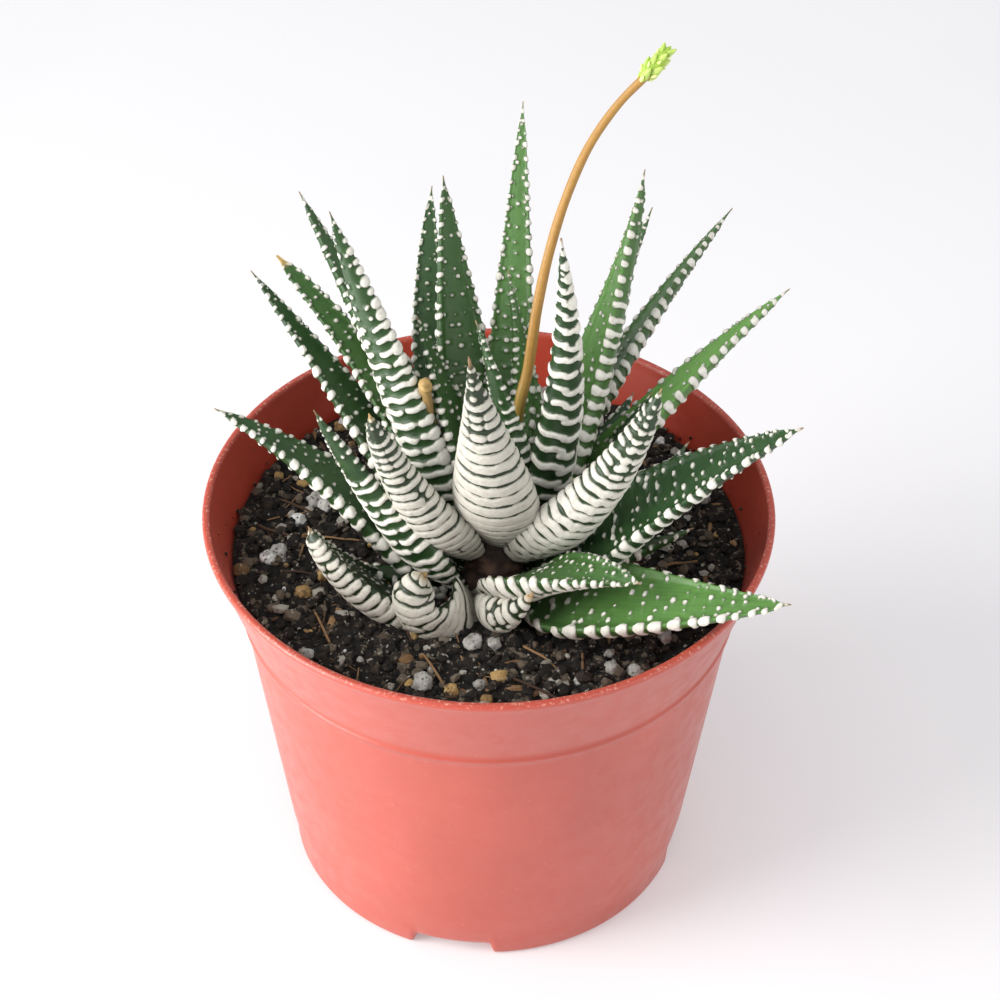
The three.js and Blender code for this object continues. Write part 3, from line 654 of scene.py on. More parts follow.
def build_bud_head():
    """A core with pointed buds set round it in a spiral, each held by a small bract."""
    base, top = np.array(BUD_CORE[0][:3]), np.array(BUD_CORE[-1][:3])
    along = unit(top - base)
    across = unit(np.cross([0, 0, 1], along))
    square = np.cross(along, across)
    rows, around = BUD_MESH
    turn = clockwise(around)
    t = np.linspace(0.02, 0.98, rows)
    profile = (np.sin(math.pi * t ** 0.8) ** 0.75)[:, None] * (1 + 0.09 * np.cos(3 * turn))
    skins, shares = [], []

    def add_spindle(centre, pointing, length, radius, value):
        side = unit(np.cross(pointing, along + 0.3 * across))
        centres = centre + pointing * ((t - 0.5) * 2 * length)[:, None]
        grid = rings_round(centres, side, np.cross(pointing, side), radius * profile, turn)
        skins.append(closed_skin(grid, centre - pointing * length, centre + pointing * length))
        shares.extend([*(value + 0.25 * np.repeat(t, around)), value, value + 0.3])

    add_spindle((base + top) / 2, along, 3.4, 1.25, 0.1)
    for i in range(BUD_COUNT):
        up = (i + 0.5) / BUD_COUNT
        angle = math.radians(BUD_TURN * i)
        out = across * math.cos(angle) + square * math.sin(angle)
        spread = BUD_SPREAD * (1 - 0.5 * up) + 0.2
        centre = base + (top - base) * (0.05 + 0.85 * up) + out * spread
        size = 1 - 0.35 * up
        paleness = 0.2 + 0.5 * ((i * 0.37) % 1)
        for form, place, value in ((BUD, centre, paleness), (BRACT, centre + out * 0.35 - along * 0.9, 0.9)):
            pointing = unit(along + out * form["slant"])
            add_spindle(place, pointing, form["length"] * size, form["radius"] * size, value)
    points, faces = joined_skins(skins)
    piece = mesh_object("bud_head", points, faces, MATERIALS["buds"], {"share": shares})
    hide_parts("flower_buds")


# Stem.
def build_stem():
    """The stem with the scars of old leaves, and its roots."""
    heights = np.linspace(*STEM_SPAN, STEM_MESH[0])
    radius = np.interp(heights, *zip(*STEM_RINGS), left=1, right=0.5)[:, None]
    angle = clockwise(STEM_MESH[1])
    side = np.array([1.0, 0, 0])
    scars = 1 + 0.06 * np.sin(heights * 3.3)[:, None] + 0.04 * np.sin(5 * angle + heights[:, None])
    centres = np.array([stem_middle(height) for height in heights])
    grid = rings_round(centres, side, np.cross(AXIS, side), radius * scars, angle)
    skins = [closed_skin(grid, centres[0], centres[-1])]
    start = stem_middle(ROOT_START_HEIGHT)
    for azimuth, reach, drop, root_radius in ROOTS:
        path = []
        for t in np.linspace(0, 1, 9):
            bend = math.radians(azimuth + ROOT_SWAY * t * t)
            out = 2 + reach * t
            path.append((
                start[0] + math.cos(bend) * out, start[1] + math.sin(bend) * out,
                start[2] + 0.5 - drop * t ** 1.4, root_radius * (1 - 0.6 * t),
            ))
        skins.append(rod_skin(path, *ROOT_MESH, lambda t, a, z: 0.08 * np.sin(3 * a + z))[0])
    piece = mesh_object("stem_bark", *joined_skins(skins), MATERIALS["stem"])
    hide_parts("stem_and_roots")


# Pot.
def straight(first, last, shares):
    """Points at shares of the way between two points of a section."""
    first, last = np.array(first), np.array(last)
    return list(first + np.asarray(shares)[:, None] * (last - first))


def pot_profile(lift):
    """Radius and height along the pot's section, from under the floor over the rim to the inner floor.
    lift is how far a notch raises the foot."""
    foot, line, rim, inner_rim, inner_floor = (
        BASE_RADIUS, LINE_RADIUS, RIM_RADIUS, INNER_RIM_RADIUS, INNER_FLOOR_RADIUS
    )
    under, seam, top = FLOOR_UNDERSIDE, LINE_HEIGHT, POT_HEIGHT
    wall_shares = (np.linspace(9, seam - 2, 22) - 1.5) / (seam - 2.1)
    inner_line = (INNER_LINE_RADIUS, INNER_LINE_HEIGHT)
    return np.array([
        (10, under), (20, under), (30.8, under), (31.4, under - 0.05), (31.8, max(0.9, lift)),
        (32, lift + 0.15), (32.3, lift), (foot - 1.1, lift), (foot - 0.6, lift + 0.12),
        (foot - 0.2, lift + 0.5), (foot + 0.08, lift + 1.1), (foot + 0.3, 4.6),
        *straight((foot + 0.15, 1.5), (line - 0.15, seam - 0.6), wall_shares),
        (line - 0.16, seam - 0.62), (line - 0.02, seam - 0.5), (line + 0.26, seam - 0.28),
        (line + 0.35, seam - 0.05), (line + 0.35, seam + 0.2), (line + 0.22, seam + 0.45),
        (line + 0.12, seam + 0.7),
        *straight((line + 0.1, seam + 0.7), (rim - 0.75, top - 2), np.linspace(0.08, 0.94, 9)),
        (rim - 0.78, top - 2.1), (rim - 0.6, top - 1.85), (rim - 0.22, top - 1.5), (rim - 0.04, top - 1),
        (rim, top - 0.6), (rim - 0.1, top - 0.22), (rim - 0.38, top), (inner_rim + 0.42, top),
        (inner_rim + 0.14, top - 0.2), (inner_rim, INNER_RIM_HEIGHT - 0.1),
        *straight((inner_rim, INNER_RIM_HEIGHT), inner_line, np.linspace(0.1, 1, 10)),
        *straight(inner_line, (inner_floor, FLOOR_TOP + 0.5), np.linspace(0.15, 1, 7)),
        (inner_floor - 0.3, FLOOR_TOP + 0.12), (inner_floor - 0.9, FLOOR_TOP), (20, FLOOR_TOP),
    ])


def drill_pot(piece):
    """Cuts the drain holes through the pot's floor."""
    shape = bmesh.new()
    radius = DRAIN["radius"] * MM
    for i in range(DRAIN["count"]):
        azimuth = math.radians(DRAIN["first_azimuth"] + 360 * i / DRAIN["count"])
        place = Vector((math.cos(azimuth), math.sin(azimuth), 0)) * DRAIN["circle"] * MM
        bmesh.ops.create_cone(
            shape, cap_ends=True, segments=40, radius1=radius, radius2=radius, depth=4 * FLOOR_TOP * MM,
            matrix=Matrix.Translation(place),
        )
    drills = bpy.data.objects.new("drills", bpy.data.meshes.new("drills"))
    shape.to_mesh(drills.data)
    shape.free()
    bpy.context.scene.collection.objects.link(drills)
    cut = piece.modifiers.new("drain_holes", "BOOLEAN")
    cut.operation = "DIFFERENCE"
    cut.solver = "EXACT"
    cut.object = drills
    whole = piece.data
    cut_piece = piece.evaluated_get(bpy.context.evaluated_depsgraph_get())
    piece.data = bpy.data.meshes.new_from_object(cut_piece)
    piece.modifiers.clear()
    bpy.data.objects.remove(drills)
    bpy.data.meshes.remove(whole)


def build_pot():
    azimuths = list(np.linspace(0, 360, POT_AZIMUTHS, endpoint=False))
    half = math.degrees(NOTCH_WIDTH / 2 / FOOT_RING_RADIUS)
    edge = math.degrees(NOTCH_EDGE / FOOT_RING_RADIUS)
    for middle in NOTCH_AZIMUTHS:
        for side in (-1, 1):
            azimuths += [middle + side * (half + edge * k) for k in (-0.9, -0.6, -0.3, 0, 0.3, 0.6, 0.9)]
    azimuths = np.unique(np.round(np.mod(azimuths, 360), 3))[::-1]
    sections = []
    for azimuth in azimuths:
        away = min(abs((azimuth - middle + 180) % 360 - 180) for middle in NOTCH_AZIMUTHS)
        radius, height = pot_profile(NOTCH_HEIGHT * smooth((half + 0.5 * edge - away) / edge)).T
        angle = math.radians(azimuth)
        sections.append(np.stack([radius * math.cos(angle), radius * math.sin(angle), height], -1))
    grid = np.stack(sections, 1)
    points, quads, fans = closed_skin(grid, [0, 0, FLOOR_UNDERSIDE], [0, 0, FLOOR_TOP])
    brim = int(np.argmax(grid[:, 0, 2]))
    inside = np.repeat(np.arange(len(grid)) > brim + 2, len(azimuths))
    near_brim = smooth(1 - np.abs(grid[..., 2] - POT_HEIGHT) / 1.6).ravel()
    marks = {"inside": np.append(inside, [False, True]), "lip": np.append(near_brim, [0, 0])}
    piece = mesh_object("pot_shell", points, [quads, fans], MATERIALS["pot"], marks)
    drill_pot(piece)
    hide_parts("pot")


# Soil.
def soil_height(x, y):
    distance = ((x - MOUND["x"]) ** 2 + (y - MOUND["y"]) ** 2) / (2 * MOUND["spread"] ** 2)
    return SOIL_LEVEL + MOUND["height"] * np.exp(-distance)


def crumbs_at(x, y):
    """Height that the peat's clods and crumbs add at one place."""
    clod = noise.voronoi(Vector((x * 0.28, y * 0.28, 1.5)))[0]
    crumb = noise.voronoi(Vector((x * 0.8, y * 0.8, 4.5)))[0]
    rough = noise.fractal(Vector((x * 0.9, y * 0.9, 7.0)), 0.8, 2.1, 4)
    return 0.7 * (0.55 - clod[0]) + 0.6 * (0.5 - crumb[0]) + 0.4 * rough


def top_at(x, y):
    """Height of the crumbly top at one place."""
    return float(soil_height(x, y)) + crumbs_at(x, y)


GRAIN_SHAPES = {}


def grain_shape(level):
    """Points and triangles of a unit ball made from an icosahedron."""
    if level not in GRAIN_SHAPES:
        mesh = bpy.data.meshes.new("ball")
        ball = bmesh.new()
        bmesh.ops.create_icosphere(ball, subdivisions=level, radius=1)
        ball.to_mesh(mesh)
        ball.free()
        points = np.array([v.co for v in mesh.vertices])
        triangles = np.array([p.vertices[:] for p in mesh.polygons])
        bpy.data.meshes.remove(mesh)
        GRAIN_SHAPES[level] = (points, triangles)
    return GRAIN_SHAPES[level]


def add_grain(heap, draw, place, size, stretch, level, roughness):
    """One rough grain, turned at random, added to a heap of points, triangles and tints."""
    ball, triangles = grain_shape(level)
    offset = draw.uniform(0, 50, 3)
    bumps = np.array([
        noise.noise(Vector(p * 1.3 + offset)) + 0.5 * noise.noise(Vector(p * 3.1 + offset)) for p in ball
    ])
    shape = ball * (1 + roughness * bumps)[:, None] * np.array(stretch) * size
    turn = Matrix.Rotation(draw.uniform(0, 6.28), 3, "Z") @ Matrix.Rotation(draw.uniform(-0.5, 0.5), 3, "X")
    heap.append((shape @ np.array(turn).T + np.array(place), triangles, draw.random()))


def place_on_soil(draw, near, reach):
    distance = near + reach * math.sqrt(draw.random())
    turn = draw.uniform(0, 2 * math.pi)
    return distance * math.cos(turn), distance * math.sin(turn)


def scatter(heap, draw, count, ring, sizes, lift, ways, level, roughness):
    """Grains on the soil, by a row of SCATTER."""
    least, more, power = sizes
    for _ in range(count):
        x, y = place_on_soil(draw, *ring)
        size = least + more * draw.random() ** power
        stretch = [draw.uniform(*way) if isinstance(way, tuple) else way for way in ways]
        add_grain(heap, draw, (x, y, top_at(x, y) + lift * size), size, stretch, level, roughness)


def add_wall_crumbs(heap, draw):
    """Small crumbs that cling to the pot's inner wall."""
    slope = (INNER_RIM_RADIUS - INNER_LINE_RADIUS) / (INNER_RIM_HEIGHT - INNER_LINE_HEIGHT)
    for _ in range(WALL_CRUMBS["count"]):
        turn = draw.uniform(0, 2 * math.pi)
        z = WALL_CRUMBS["from"] + WALL_CRUMBS["reach"] * draw.random() ** 2
        size = 0.15 + 0.3 * draw.random() ** 2
        distance = INNER_LINE_RADIUS + (z - INNER_LINE_HEIGHT) * slope - 0.5 * size
        place = (distance * math.cos(turn), distance * math.sin(turn), z)
        add_grain(heap, draw, place, size, (1, 0.8, 0.8), 1, 0.5)


def fibre_paths(draw):
    """Points with a radius each: first those of the straws, then those of fibres bent at random."""
    paths = []
    for x0, y0, x1, y1, thick in STRAWS:
        straw = []
        for t in np.linspace(0, 1, 5):
            x, y = x0 + t * (x1 - x0), y0 + t * (y1 - y0)
            straw.append((x, y, float(soil_height(x, y)) + 0.9 + 0.3 * math.sin(3 * t), thick))
        paths.append(straw)
    for _ in range(FIBRES["count"]):
        x, y = place_on_soil(draw, *FIBRES["ring"])
        heading = draw.uniform(0, 2 * math.pi)
        bend = draw.uniform(-0.6, 0.6)
        length = draw.uniform(2, 10)
        thick = draw.uniform(0.07, 0.3)
        path = []
        for t in np.linspace(0, 1, 5):
            way = heading + bend * t
            x += math.cos(way) * length / 4
            y += math.sin(way) * length / 4
            if math.hypot(x, y) > FIBRES["outermost"]:
                break
            lift = 0.35 + 0.5 * math.sin(3 * t) * draw.random()
            path.append((x, y, float(soil_height(x, y)) + max(crumbs_at(x, y), -0.2) + lift, thick))
        if len(path) > 2:
            paths.append(path)
    return paths


def build_heap(kind, heap, smooth_shading):
    starts = np.cumsum([0] + [len(points) for points, _, _ in heap])
    triangles = np.concatenate([piece[1] + start for piece, start in zip(heap, starts)])
    tint = np.concatenate([np.full(len(points), value) for points, _, value in heap])
    points = np.concatenate([piece[0] for piece in heap])
    piece = mesh_object("soil_" + kind, points, [triangles], MATERIALS[kind], {"tint": tint}, smooth_shading)


def build_soil_bed():
    """The soil's body: rings over its crumbly top, then down along the pot's wall to the floor."""
    radius = SOIL_EDGE_RADIUS * np.arange(1, SOIL_RINGS + 1)[:, None] / SOIL_RINGS
    angle = 2 * math.pi * np.arange(SOIL_SIDES) / SOIL_SIDES
    x, y = radius * np.cos(angle), radius * np.sin(angle)
    rise = np.array([[crumbs_at(a, b) for a, b in zip(row_x, row_y)] for row_x, row_y in zip(x, y)])
    edge = smooth((SOIL_EDGE_RADIUS - radius) / 1.5)
    rows = list(np.stack([x, y, soil_height(x, y) + rise * edge - 0.4 * (1 - edge)], -1))
    for wall_radius, height in (
        (INNER_LINE_RADIUS - SOIL_GAP, INNER_LINE_HEIGHT),
        (INNER_FLOOR_RADIUS - SOIL_GAP, FLOOR_TOP + 0.9),
        (INNER_FLOOR_RADIUS - 1.4, FLOOR_TOP + SOIL_GAP),
    ):
        ring = [wall_radius * np.cos(angle), wall_radius * np.sin(angle), np.full(SOIL_SIDES, height)]
        rows.append(np.stack(ring, -1))
    middle = float(soil_height(0, 0))
    points, quads, fans = closed_skin(np.array(rows), [0, 0, middle], [0, 0, FLOOR_TOP + SOIL_GAP])
    # Painted light and shade: the top's tint follows the height of its crumbs, so the crumbs' tops are
    # coloured lighter and the hollows between them darker.
    tint = np.full(len(points), 0.5)
    tint[:rise.size] += 0.4 * rise.ravel()
    piece = mesh_object("soil_bed", points, [quads, fans], MATERIALS["soil"], {"tint": tint})
    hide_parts("soil")


def build_loose_pieces():
    """All that lies on the soil. Each kind draws in turn from one row of random numbers."""
    draw = np.random.default_rng(SOIL_SEED)
    heaps = {kind: [] for kind in ("crumbs", "bark", "perlite", "stones", "fibres")}
    scatter(heaps["crumbs"], draw, *SCATTER["crumbs"])
    add_wall_crumbs(heaps["crumbs"], draw)
    for kind in ("perlite", "bark", "stones"):
        scatter(heaps[kind], draw, *SCATTER[kind])
    for x, y, size, kind in LARGE_GRAINS:
        place = (x, y, float(soil_height(x, y)) + 0.3 * size)
        add_grain(heaps[kind], draw, place, size, (1, 0.85, 0.75), 3, 0.35)
    for path in fibre_paths(draw):
        (points, quads, fans), _ = rod_skin(path, FIBRES["stations"], FIBRES["sides"])
        triangles = np.concatenate([quads[:, [0, 1, 2]], quads[:, [0, 2, 3]], fans])
        heaps["fibres"].append((points, triangles, draw.random()))
    for kind, heap in heaps.items():
        build_heap(kind, heap, kind not in ("crumbs", "bark"))


# Materials.
class Shader:
    """A short way to write a node material."""

    def __init__(self, name, roughness=0.5):
        self.material = bpy.data.materials.new(name)
        self.material.use_nodes = True
        self.tree = self.material.node_tree
        self.surface = self.tree.nodes["Principled BSDF"]
        self.surface.inputs["Roughness"].default_value = roughness

    def node(self, kind, **settings):
        made = self.tree.nodes.new(kind)
        for key, value in settings.items():
            setattr(made, key, value)
        return made

    def feed(self, socket, value):
        if isinstance(value, bpy.types.NodeSocket):
            self.tree.links.new(value, socket)
        else:
            socket.default_value = value

    def attribute(self, name):
        return self.node("ShaderNodeAttribute", attribute_name=name).outputs["Fac"]

    def place(self):
        return self.node("ShaderNodeTexCoord").outputs["Object"]

    def noise(self, scale, detail=3, vector=None, roughness=0.5):
        made = self.node("ShaderNodeTexNoise")
        self.feed(made.inputs["Scale"], scale)
        self.feed(made.inputs["Detail"], detail)
        self.feed(made.inputs["Roughness"], roughness)
        self.feed(made.inputs["Vector"], vector or self.place())
        return made.outputs["Fac"]

    def cells(self, scale):
        made = self.node("ShaderNodeTexVoronoi")
        self.feed(made.inputs["Scale"], scale)
        self.feed(made.inputs["Vector"], self.place())
        return made.outputs["Distance"]

    def math(self, operation, first, second):
        made = self.node("ShaderNodeMath", operation=operation)
        for socket, value in zip(made.inputs, (first, second)):
            self.feed(socket, value)
        return made.outputs[0]

    def run(self, value, low, high, to_low=0.0, to_high=1.0):
        """value taken from low..high to to_low..to_high, smoothly and without overshoot."""
        made = self.node("ShaderNodeMapRange", interpolation_type="SMOOTHSTEP")
        for key, number in zip(
            ("Value", "From Min", "From Max", "To Min", "To Max"), (value, low, high, to_low, to_high)
        ):
            self.feed(made.inputs[key], number)
        return made.outputs["Result"]

    def mix(self, factor, first, second):
        made = self.node("ShaderNodeMix", data_type="RGBA")
        self.feed(made.inputs["Factor"], factor)
        for socket, colour in zip(made.inputs[6:8], (first, second)):
            self.feed(socket, (*colour, 1) if isinstance(colour, tuple) else colour)
        return made.outputs[2]

    def over(self, colour, value, low, high, strength, paint):
        """colour under paint where value is high, up to strength."""
        return self.mix(self.run(value, low, high, 0.0, strength), colour, paint)

    def times(self, first, second):
        return self.math("MULTIPLY", first, second)

    def under_skin(self, weight, radius, scale):
        for key, value in (("Weight", weight), ("Radius", radius), ("Scale", scale)):
            self.surface.inputs["Subsurface " + key].default_value = value

    def vector(self, x, y, z):
        made = self.node("ShaderNodeCombineXYZ")
        for socket, value in zip(made.inputs, (x, y, z)):
            self.feed(socket, value)
        return made.outputs[0]

    def bump(self, height, distance, strength=1.0, normal=None):
        made = self.node("ShaderNodeBump")
        self.feed(made.inputs["Height"], height)
        made.inputs["Distance"].default_value = distance * MM
        made.inputs["Strength"].default_value = strength
        if normal is not None:
            self.feed(made.inputs["Normal"], normal)
        return made.outputs["Normal"]

    def finish(self, colour, roughness=None, normal=None):
        self.feed(self.surface.inputs["Base Color"], colour)
        if roughness is not None:
            self.feed(self.surface.inputs["Roughness"], roughness)
        if normal is not None:
            self.feed(self.surface.inputs["Normal"], normal)
        return self.material


def leaf_material():
    m = Shader("leaf_skin")
    ridge, inner, lit_tone = m.attribute("ridge"), m.attribute("inner"), m.attribute("lit_tone")
    place, across, share = m.attribute("place"), m.attribute("across"), m.attribute("share")
    grey_and_gap_shade = m.attribute("grey_and_gap_shade")

    # The green, with painted light and shade: darker towards the foot as painted shade, brighter with
    # lit_tone, lighter on the inner face; streaked and mottled.
    foot_shade_green = m.mix(lit_tone, (0.004, 0.013, 0.003), (0.018, 0.055, 0.010))
    lit_green = m.mix(m.times(lit_tone, lit_tone), (0.007, 0.042, 0.006), (0.17, 0.39, 0.08))
    green = m.mix(m.times(m.run(share, 0.1, 0.68, 0.2, 1.0), m.run(inner, 0, 1, 0.55, 1.0)), foot_shade_green, lit_green)
    streaks = m.noise(1.0, 3, m.vector(m.times(across, 2.4), m.times(place, 0.16), lit_tone))
    green = m.over(green, streaks, 0.35, 0.7, 0.45, m.mix(0.5, green, (0.012, 0.045, 0.012)))
    green = m.over(green, m.noise(260, 4), 0.35, 0.75, 0.25, m.mix(0.5, green, (0.10, 0.22, 0.06)))
    # Painted shade: on grey_and_gap_shade leaves the green, which shows mostly in the narrow gaps between
    # joined bands, is darkened towards near black.
    green = m.mix(m.times(grey_and_gap_shade, 0.7), green, (0.014, 0.019, 0.009))

    # The chalky white of the bands, beads and pearls.
    # Painted shade: each mark's white turns to a dark grey-green at its edges and is brightest on its crest.
    chalk = m.mix(m.run(ridge, 0.0, 0.3), (0.17, 0.19, 0.13), (0.80, 0.775, 0.70))
    chalk = m.over(chalk, m.noise(900, 4), 0.45, 0.7, 0.55, (0.50, 0.48, 0.39))
    # Painted shade: the white darkens towards the leaf's foot.
    chalk = m.mix(m.run(share, 0.0, 0.45, 0.7, 0.0), chalk, (0.22, 0.205, 0.16))
    # grey_and_gap_shade also makes the white greyer.
    chalk = m.mix(m.times(grey_and_gap_shade, 0.55), chalk, (0.38, 0.36, 0.295))
    ragged = m.times(m.math("SUBTRACT", m.noise(1100, 4), 0.5), 0.3)
    white = m.run(m.math("ADD", ridge, ragged), 0.0, 0.07)

    withered = m.mix(m.attribute("straw"), (0.17, 0.085, 0.055), (0.62, 0.41, 0.15))
    colour = m.mix(m.attribute("dry"), m.mix(white, green, chalk), withered)
    normal = m.bump(m.noise(2600, 3), 0.05, 0.5)
    normal = m.bump(m.times(m.noise(1000, 5), white), 0.22, 0.9, normal)
    m.under_skin(0.03, (0.6, 1.0, 0.3), 0.0012)
    return m.finish(colour, m.run(white, 0, 1, 0.42, 0.6), normal)


def pot_material():
    m = Shader("pot_plastic", 0.4)
    inside, lip = m.attribute("inside"), m.attribute("lip")
    colour = m.mix(m.run(m.noise(38, 3), 0.35, 0.7), (0.44, 0.070, 0.044), (0.49, 0.083, 0.054))
    specks = m.times(m.run(m.cells(420), 0.035, 0.075, 1.0, 0.0), m.run(m.noise(160, 2), 0.6, 0.66))
    colour = m.mix(m.times(specks, 0.7), colour, (0.16, 0.05, 0.035))
    colour = m.over(colour, m.noise(900, 4), 0.62, 0.8, 0.25, (0.66, 0.24, 0.19))
    # Painted shade: the inside is a deeper, darker red than the outer wall, though it is the same plastic;
    # the lip is made a deeper red as well.
    colour = m.mix(m.times(inside, 0.8), colour, (0.50, 0.05, 0.022))
    colour = m.mix(m.times(lip, 0.7), colour, (0.50, 0.06, 0.03))
    # Painted highlight: a thin, broken bright line along the edge of the rim.
    rim_glint = m.times(m.run(m.noise(1700, 5), 0.54, 0.68), m.run(lip, 0.6, 0.95, 0.0, 0.7))
    colour = m.mix(rim_glint, colour, (0.76, 0.36, 0.28))
    for key, value in (
        ("Coat Weight", 0.25), ("Coat Roughness", 0.32), ("Sheen Weight", 0.04), ("Sheen Roughness", 0.45)
    ):
        m.surface.inputs[key].default_value = value
    normal = m.bump(m.noise(60, 2), 0.15, 0.3, m.bump(m.noise(1900, 3), 0.03, 0.35))
    return m.finish(colour, m.run(m.noise(300, 4), 0.3, 0.75, 0.34, 0.5), normal)


def soil_material(name, dark, light):
    m = Shader(name, 0.95)
    tint = m.attribute("tint")
    colour = m.mix(m.times(m.run(m.noise(420, 4), 0.35, 0.75), m.run(tint, 0, 1, 0.3, 1.0)), dark, light)
    colour = m.over(colour, tint, 0.78, 0.9, 0.85, (0.17, 0.13, 0.09))
    colour = m.over(colour, tint, 0.93, 0.95, 0.9, (0.48, 0.45, 0.39))
    colour = m.over(colour, m.noise(620, 4), 0.58, 0.64, 0.75, (0.20, 0.16, 0.115))
    colour = m.over(colour, m.noise(1000, 3), 0.66, 0.70, 0.85, (0.46, 0.43, 0.38))
    return m.finish(colour, None, m.bump(m.noise(1300, 6, roughness=0.75), 0.6, 1.0))


def stone_material():
    m = Shader("ochre_stone", 0.85)
    colour = m.mix(m.run(m.attribute("tint"), 0.2, 0.9), (0.16, 0.085, 0.03), (0.44, 0.28, 0.10))
    colour = m.over(colour, m.noise(700, 4), 0.45, 0.7, 0.8, (0.07, 0.045, 0.025))
    colour = m.over(colour, m.noise(1300, 3), 0.58, 0.72, 0.6, (0.50, 0.42, 0.28))
    return m.finish(colour, None, m.bump(m.noise(1200, 4), 0.3, 0.9))


def perlite_material():
    m = Shader("perlite", 0.9)
    colour = m.mix(m.run(m.attribute("tint"), 0.35, 0.95), (0.34, 0.33, 0.30), (0.80, 0.79, 0.76))
    colour = m.over(colour, m.noise(600, 4), 0.45, 0.7, 0.7, (0.16, 0.145, 0.12))
    colour = m.mix(m.run(m.cells(1100), 0.12, 0.34, 0.9, 0.0), colour, (0.07, 0.06, 0.05))
    return m.finish(colour, None, m.bump(m.cells(1500), 0.25, 0.9))


def bark_material():
    m = Shader("bark", 0.85)
    colour = m.mix(m.run(m.attribute("tint"), 0.1, 0.95), (0.05, 0.022, 0.012), (0.30, 0.17, 0.075))
    colour = m.over(colour, m.noise(1300, 3), 0.4, 0.7, 0.5, m.mix(0.6, colour, (0.02, 0.012, 0.008)))
    return m.finish(colour, None, m.bump(m.noise(1400, 3), 0.15, 0.8))


def stalk_material(name, low, high, split_low, split_high):
    m = Shader(name, 0.45)
    colour = m.mix(m.run(m.attribute("share"), split_low, split_high), low, high)
    colour = m.over(colour, m.noise(900, 4), 0.4, 0.75, 0.35, m.mix(0.6, colour, (0.20, 0.08, 0.02)))
    return m.finish(colour, None, m.bump(m.noise(1600, 3), 0.06, 0.6))


def bud_material():
    m = Shader("bud_green", 0.45)
    colour = m.mix(m.run(m.attribute("share"), 0.2, 1.1), (0.36, 0.55, 0.055), (0.72, 0.80, 0.30))
    colour = m.over(colour, m.noise(1200, 3), 0.4, 0.7, 0.3, (0.25, 0.42, 0.05))
    m.under_skin(0.2, (0.8, 1.0, 0.3), 0.001)
    return m.finish(colour, None, m.bump(m.noise(1500, 2), 0.05, 0.5))


def stem_material():
    m = Shader("stem", 0.8)
    colour = m.mix(m.run(m.noise(380, 4), 0.35, 0.7), (0.018, 0.011, 0.008), (0.10, 0.05, 0.03))
    return m.finish(colour, None, m.bump(m.noise(900, 4), 0.3, 0.8))


def floor_material():
    m = Shader("floor", 0.6)
    m.surface.inputs["Emission Color"].default_value = (1, 0.995, 1, 1)
    m.surface.inputs["Emission Strength"].default_value = 0.24
    return m.finish(m.over((0.70, 0.69, 0.705), m.noise(9, 4), 0.5, 0.72, 0.25, (0.60, 0.59, 0.60)))


MATERIALS = {
    "leaf": leaf_material(),
    "pot": pot_material(),
    "soil": soil_material("potting_mix", (0.005, 0.004, 0.003), (0.030, 0.022, 0.016)),
    "crumbs": soil_material("peat_crumbs", (0.004, 0.003, 0.002), (0.058, 0.041, 0.028)),
    "perlite": perlite_material(),
    "bark": bark_material(),
    "stones": stone_material(),
    "fibres": bark_material(),
    "flower_stalk": stalk_material("flower_stalk", (0.21, 0.19, 0.03), (0.43, 0.225, 0.048), 0.08, 0.5),
    "dry_stalk": stalk_material("dry_stalk", (0.14, 0.08, 0.03), (0.52, 0.34, 0.12), 0.3, 0.9),
    "cut_stalk": stalk_material("cut_stalk", (0.30, 0.28, 0.10), (0.66, 0.62, 0.36), 0.3, 0.9),
    "buds": bud_material(),
    "stem": stem_material(),
    "floor": floor_material(),
}


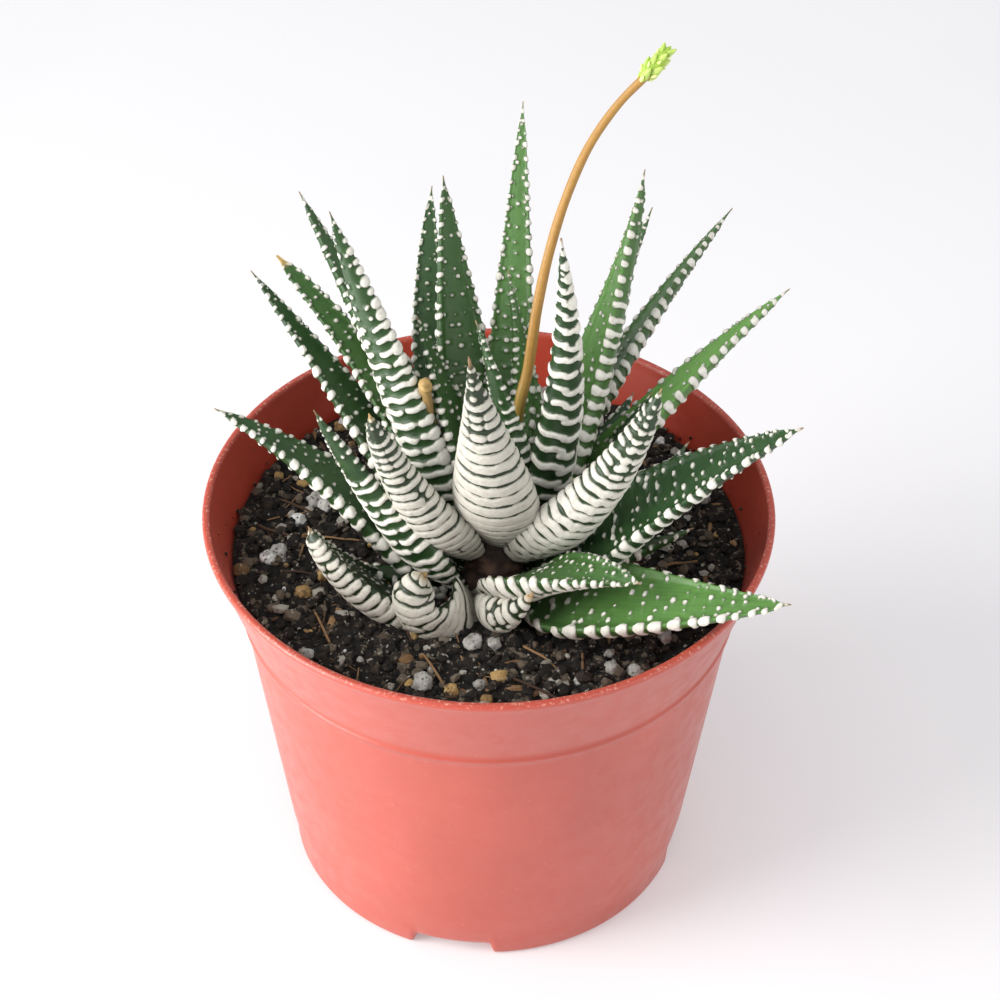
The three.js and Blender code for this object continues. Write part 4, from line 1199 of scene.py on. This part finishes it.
# Floor, lights and camera.
def build_floor():
    mesh = bpy.data.meshes.new("floor")
    corners = [(FLOOR_REACH * x, FLOOR_REACH * y, 0) for x, y in ((-1, -1), (1, -1), (1, 1), (-1, 1))]
    mesh.from_pydata(corners, [], [(0, 1, 2, 3)])
    mesh.materials.append(MATERIALS["floor"])
    floor = bpy.data.objects.new("floor", mesh)
    bpy.context.scene.collection.objects.link(floor)


def build_lights():
    world = bpy.data.worlds.new("studio")
    world.use_nodes = True
    backdrop = world.node_tree.nodes["Background"]
    backdrop.inputs["Color"].default_value = WORLD_COLOUR
    backdrop.inputs["Strength"].default_value = WORLD_STRENGTH
    bpy.context.scene.world = world
    for name, (place, target, size, power, colour) in LIGHTS.items():
        data = bpy.data.lights.new(name, "AREA")
        data.shape = "DISK"
        data.size = size
        data.energy = power
        data.color = colour
        lamp = bpy.data.objects.new(name, data)
        lamp.location = place
        lamp.rotation_mode = "QUATERNION"
        lamp.rotation_quaternion = (Vector(target) - Vector(place)).to_track_quat("-Z", "Y")
        bpy.context.scene.collection.objects.link(lamp)


def build_camera():
    elevation = math.radians(CAMERA_ELEVATION)
    pan, tilt, roll = (math.radians(angle) for angle in (CAMERA_PAN, CAMERA_TILT, CAMERA_ROLL))
    away, drop = math.cos(elevation), math.sin(elevation)
    level = Vector((math.sin(pan), away * math.cos(pan), -drop * math.cos(pan))) * math.cos(tilt)
    forward = level + Vector((0, drop, away)) * math.sin(tilt)
    data = bpy.data.cameras.new("camera")
    data.sensor_width = CAMERA_SENSOR
    data.lens = CAMERA_LENS
    data.clip_start = 0.01
    data.clip_end = 20
    camera = bpy.data.objects.new("camera", data)
    turn = forward.to_track_quat("-Z", "Y").to_matrix() @ Matrix.Rotation(roll, 3, "Z")
    place = Vector((0, -away * CAMERA_DISTANCE, drop * CAMERA_DISTANCE + CAMERA_AIM_HEIGHT)) * MM
    camera.matrix_world = Matrix.Translation(place) @ turn.to_4x4()
    bpy.context.scene.collection.objects.link(camera)
    bpy.context.scene.camera = camera


for leaf_number, leaf_row in enumerate(LEAVES, 1):
    build_leaf(leaf_row, leaf_number)
flower_stalk, *stubs = STALKS
build_stalk(*flower_stalk)
build_bud_head()
for stub in stubs:
    build_stalk(*stub)
build_stem()
build_pot()
build_soil_bed()
build_loose_pieces()
build_floor()
build_lights()
build_camera()
bpy.context.scene.view_settings.view_transform = "Standard"
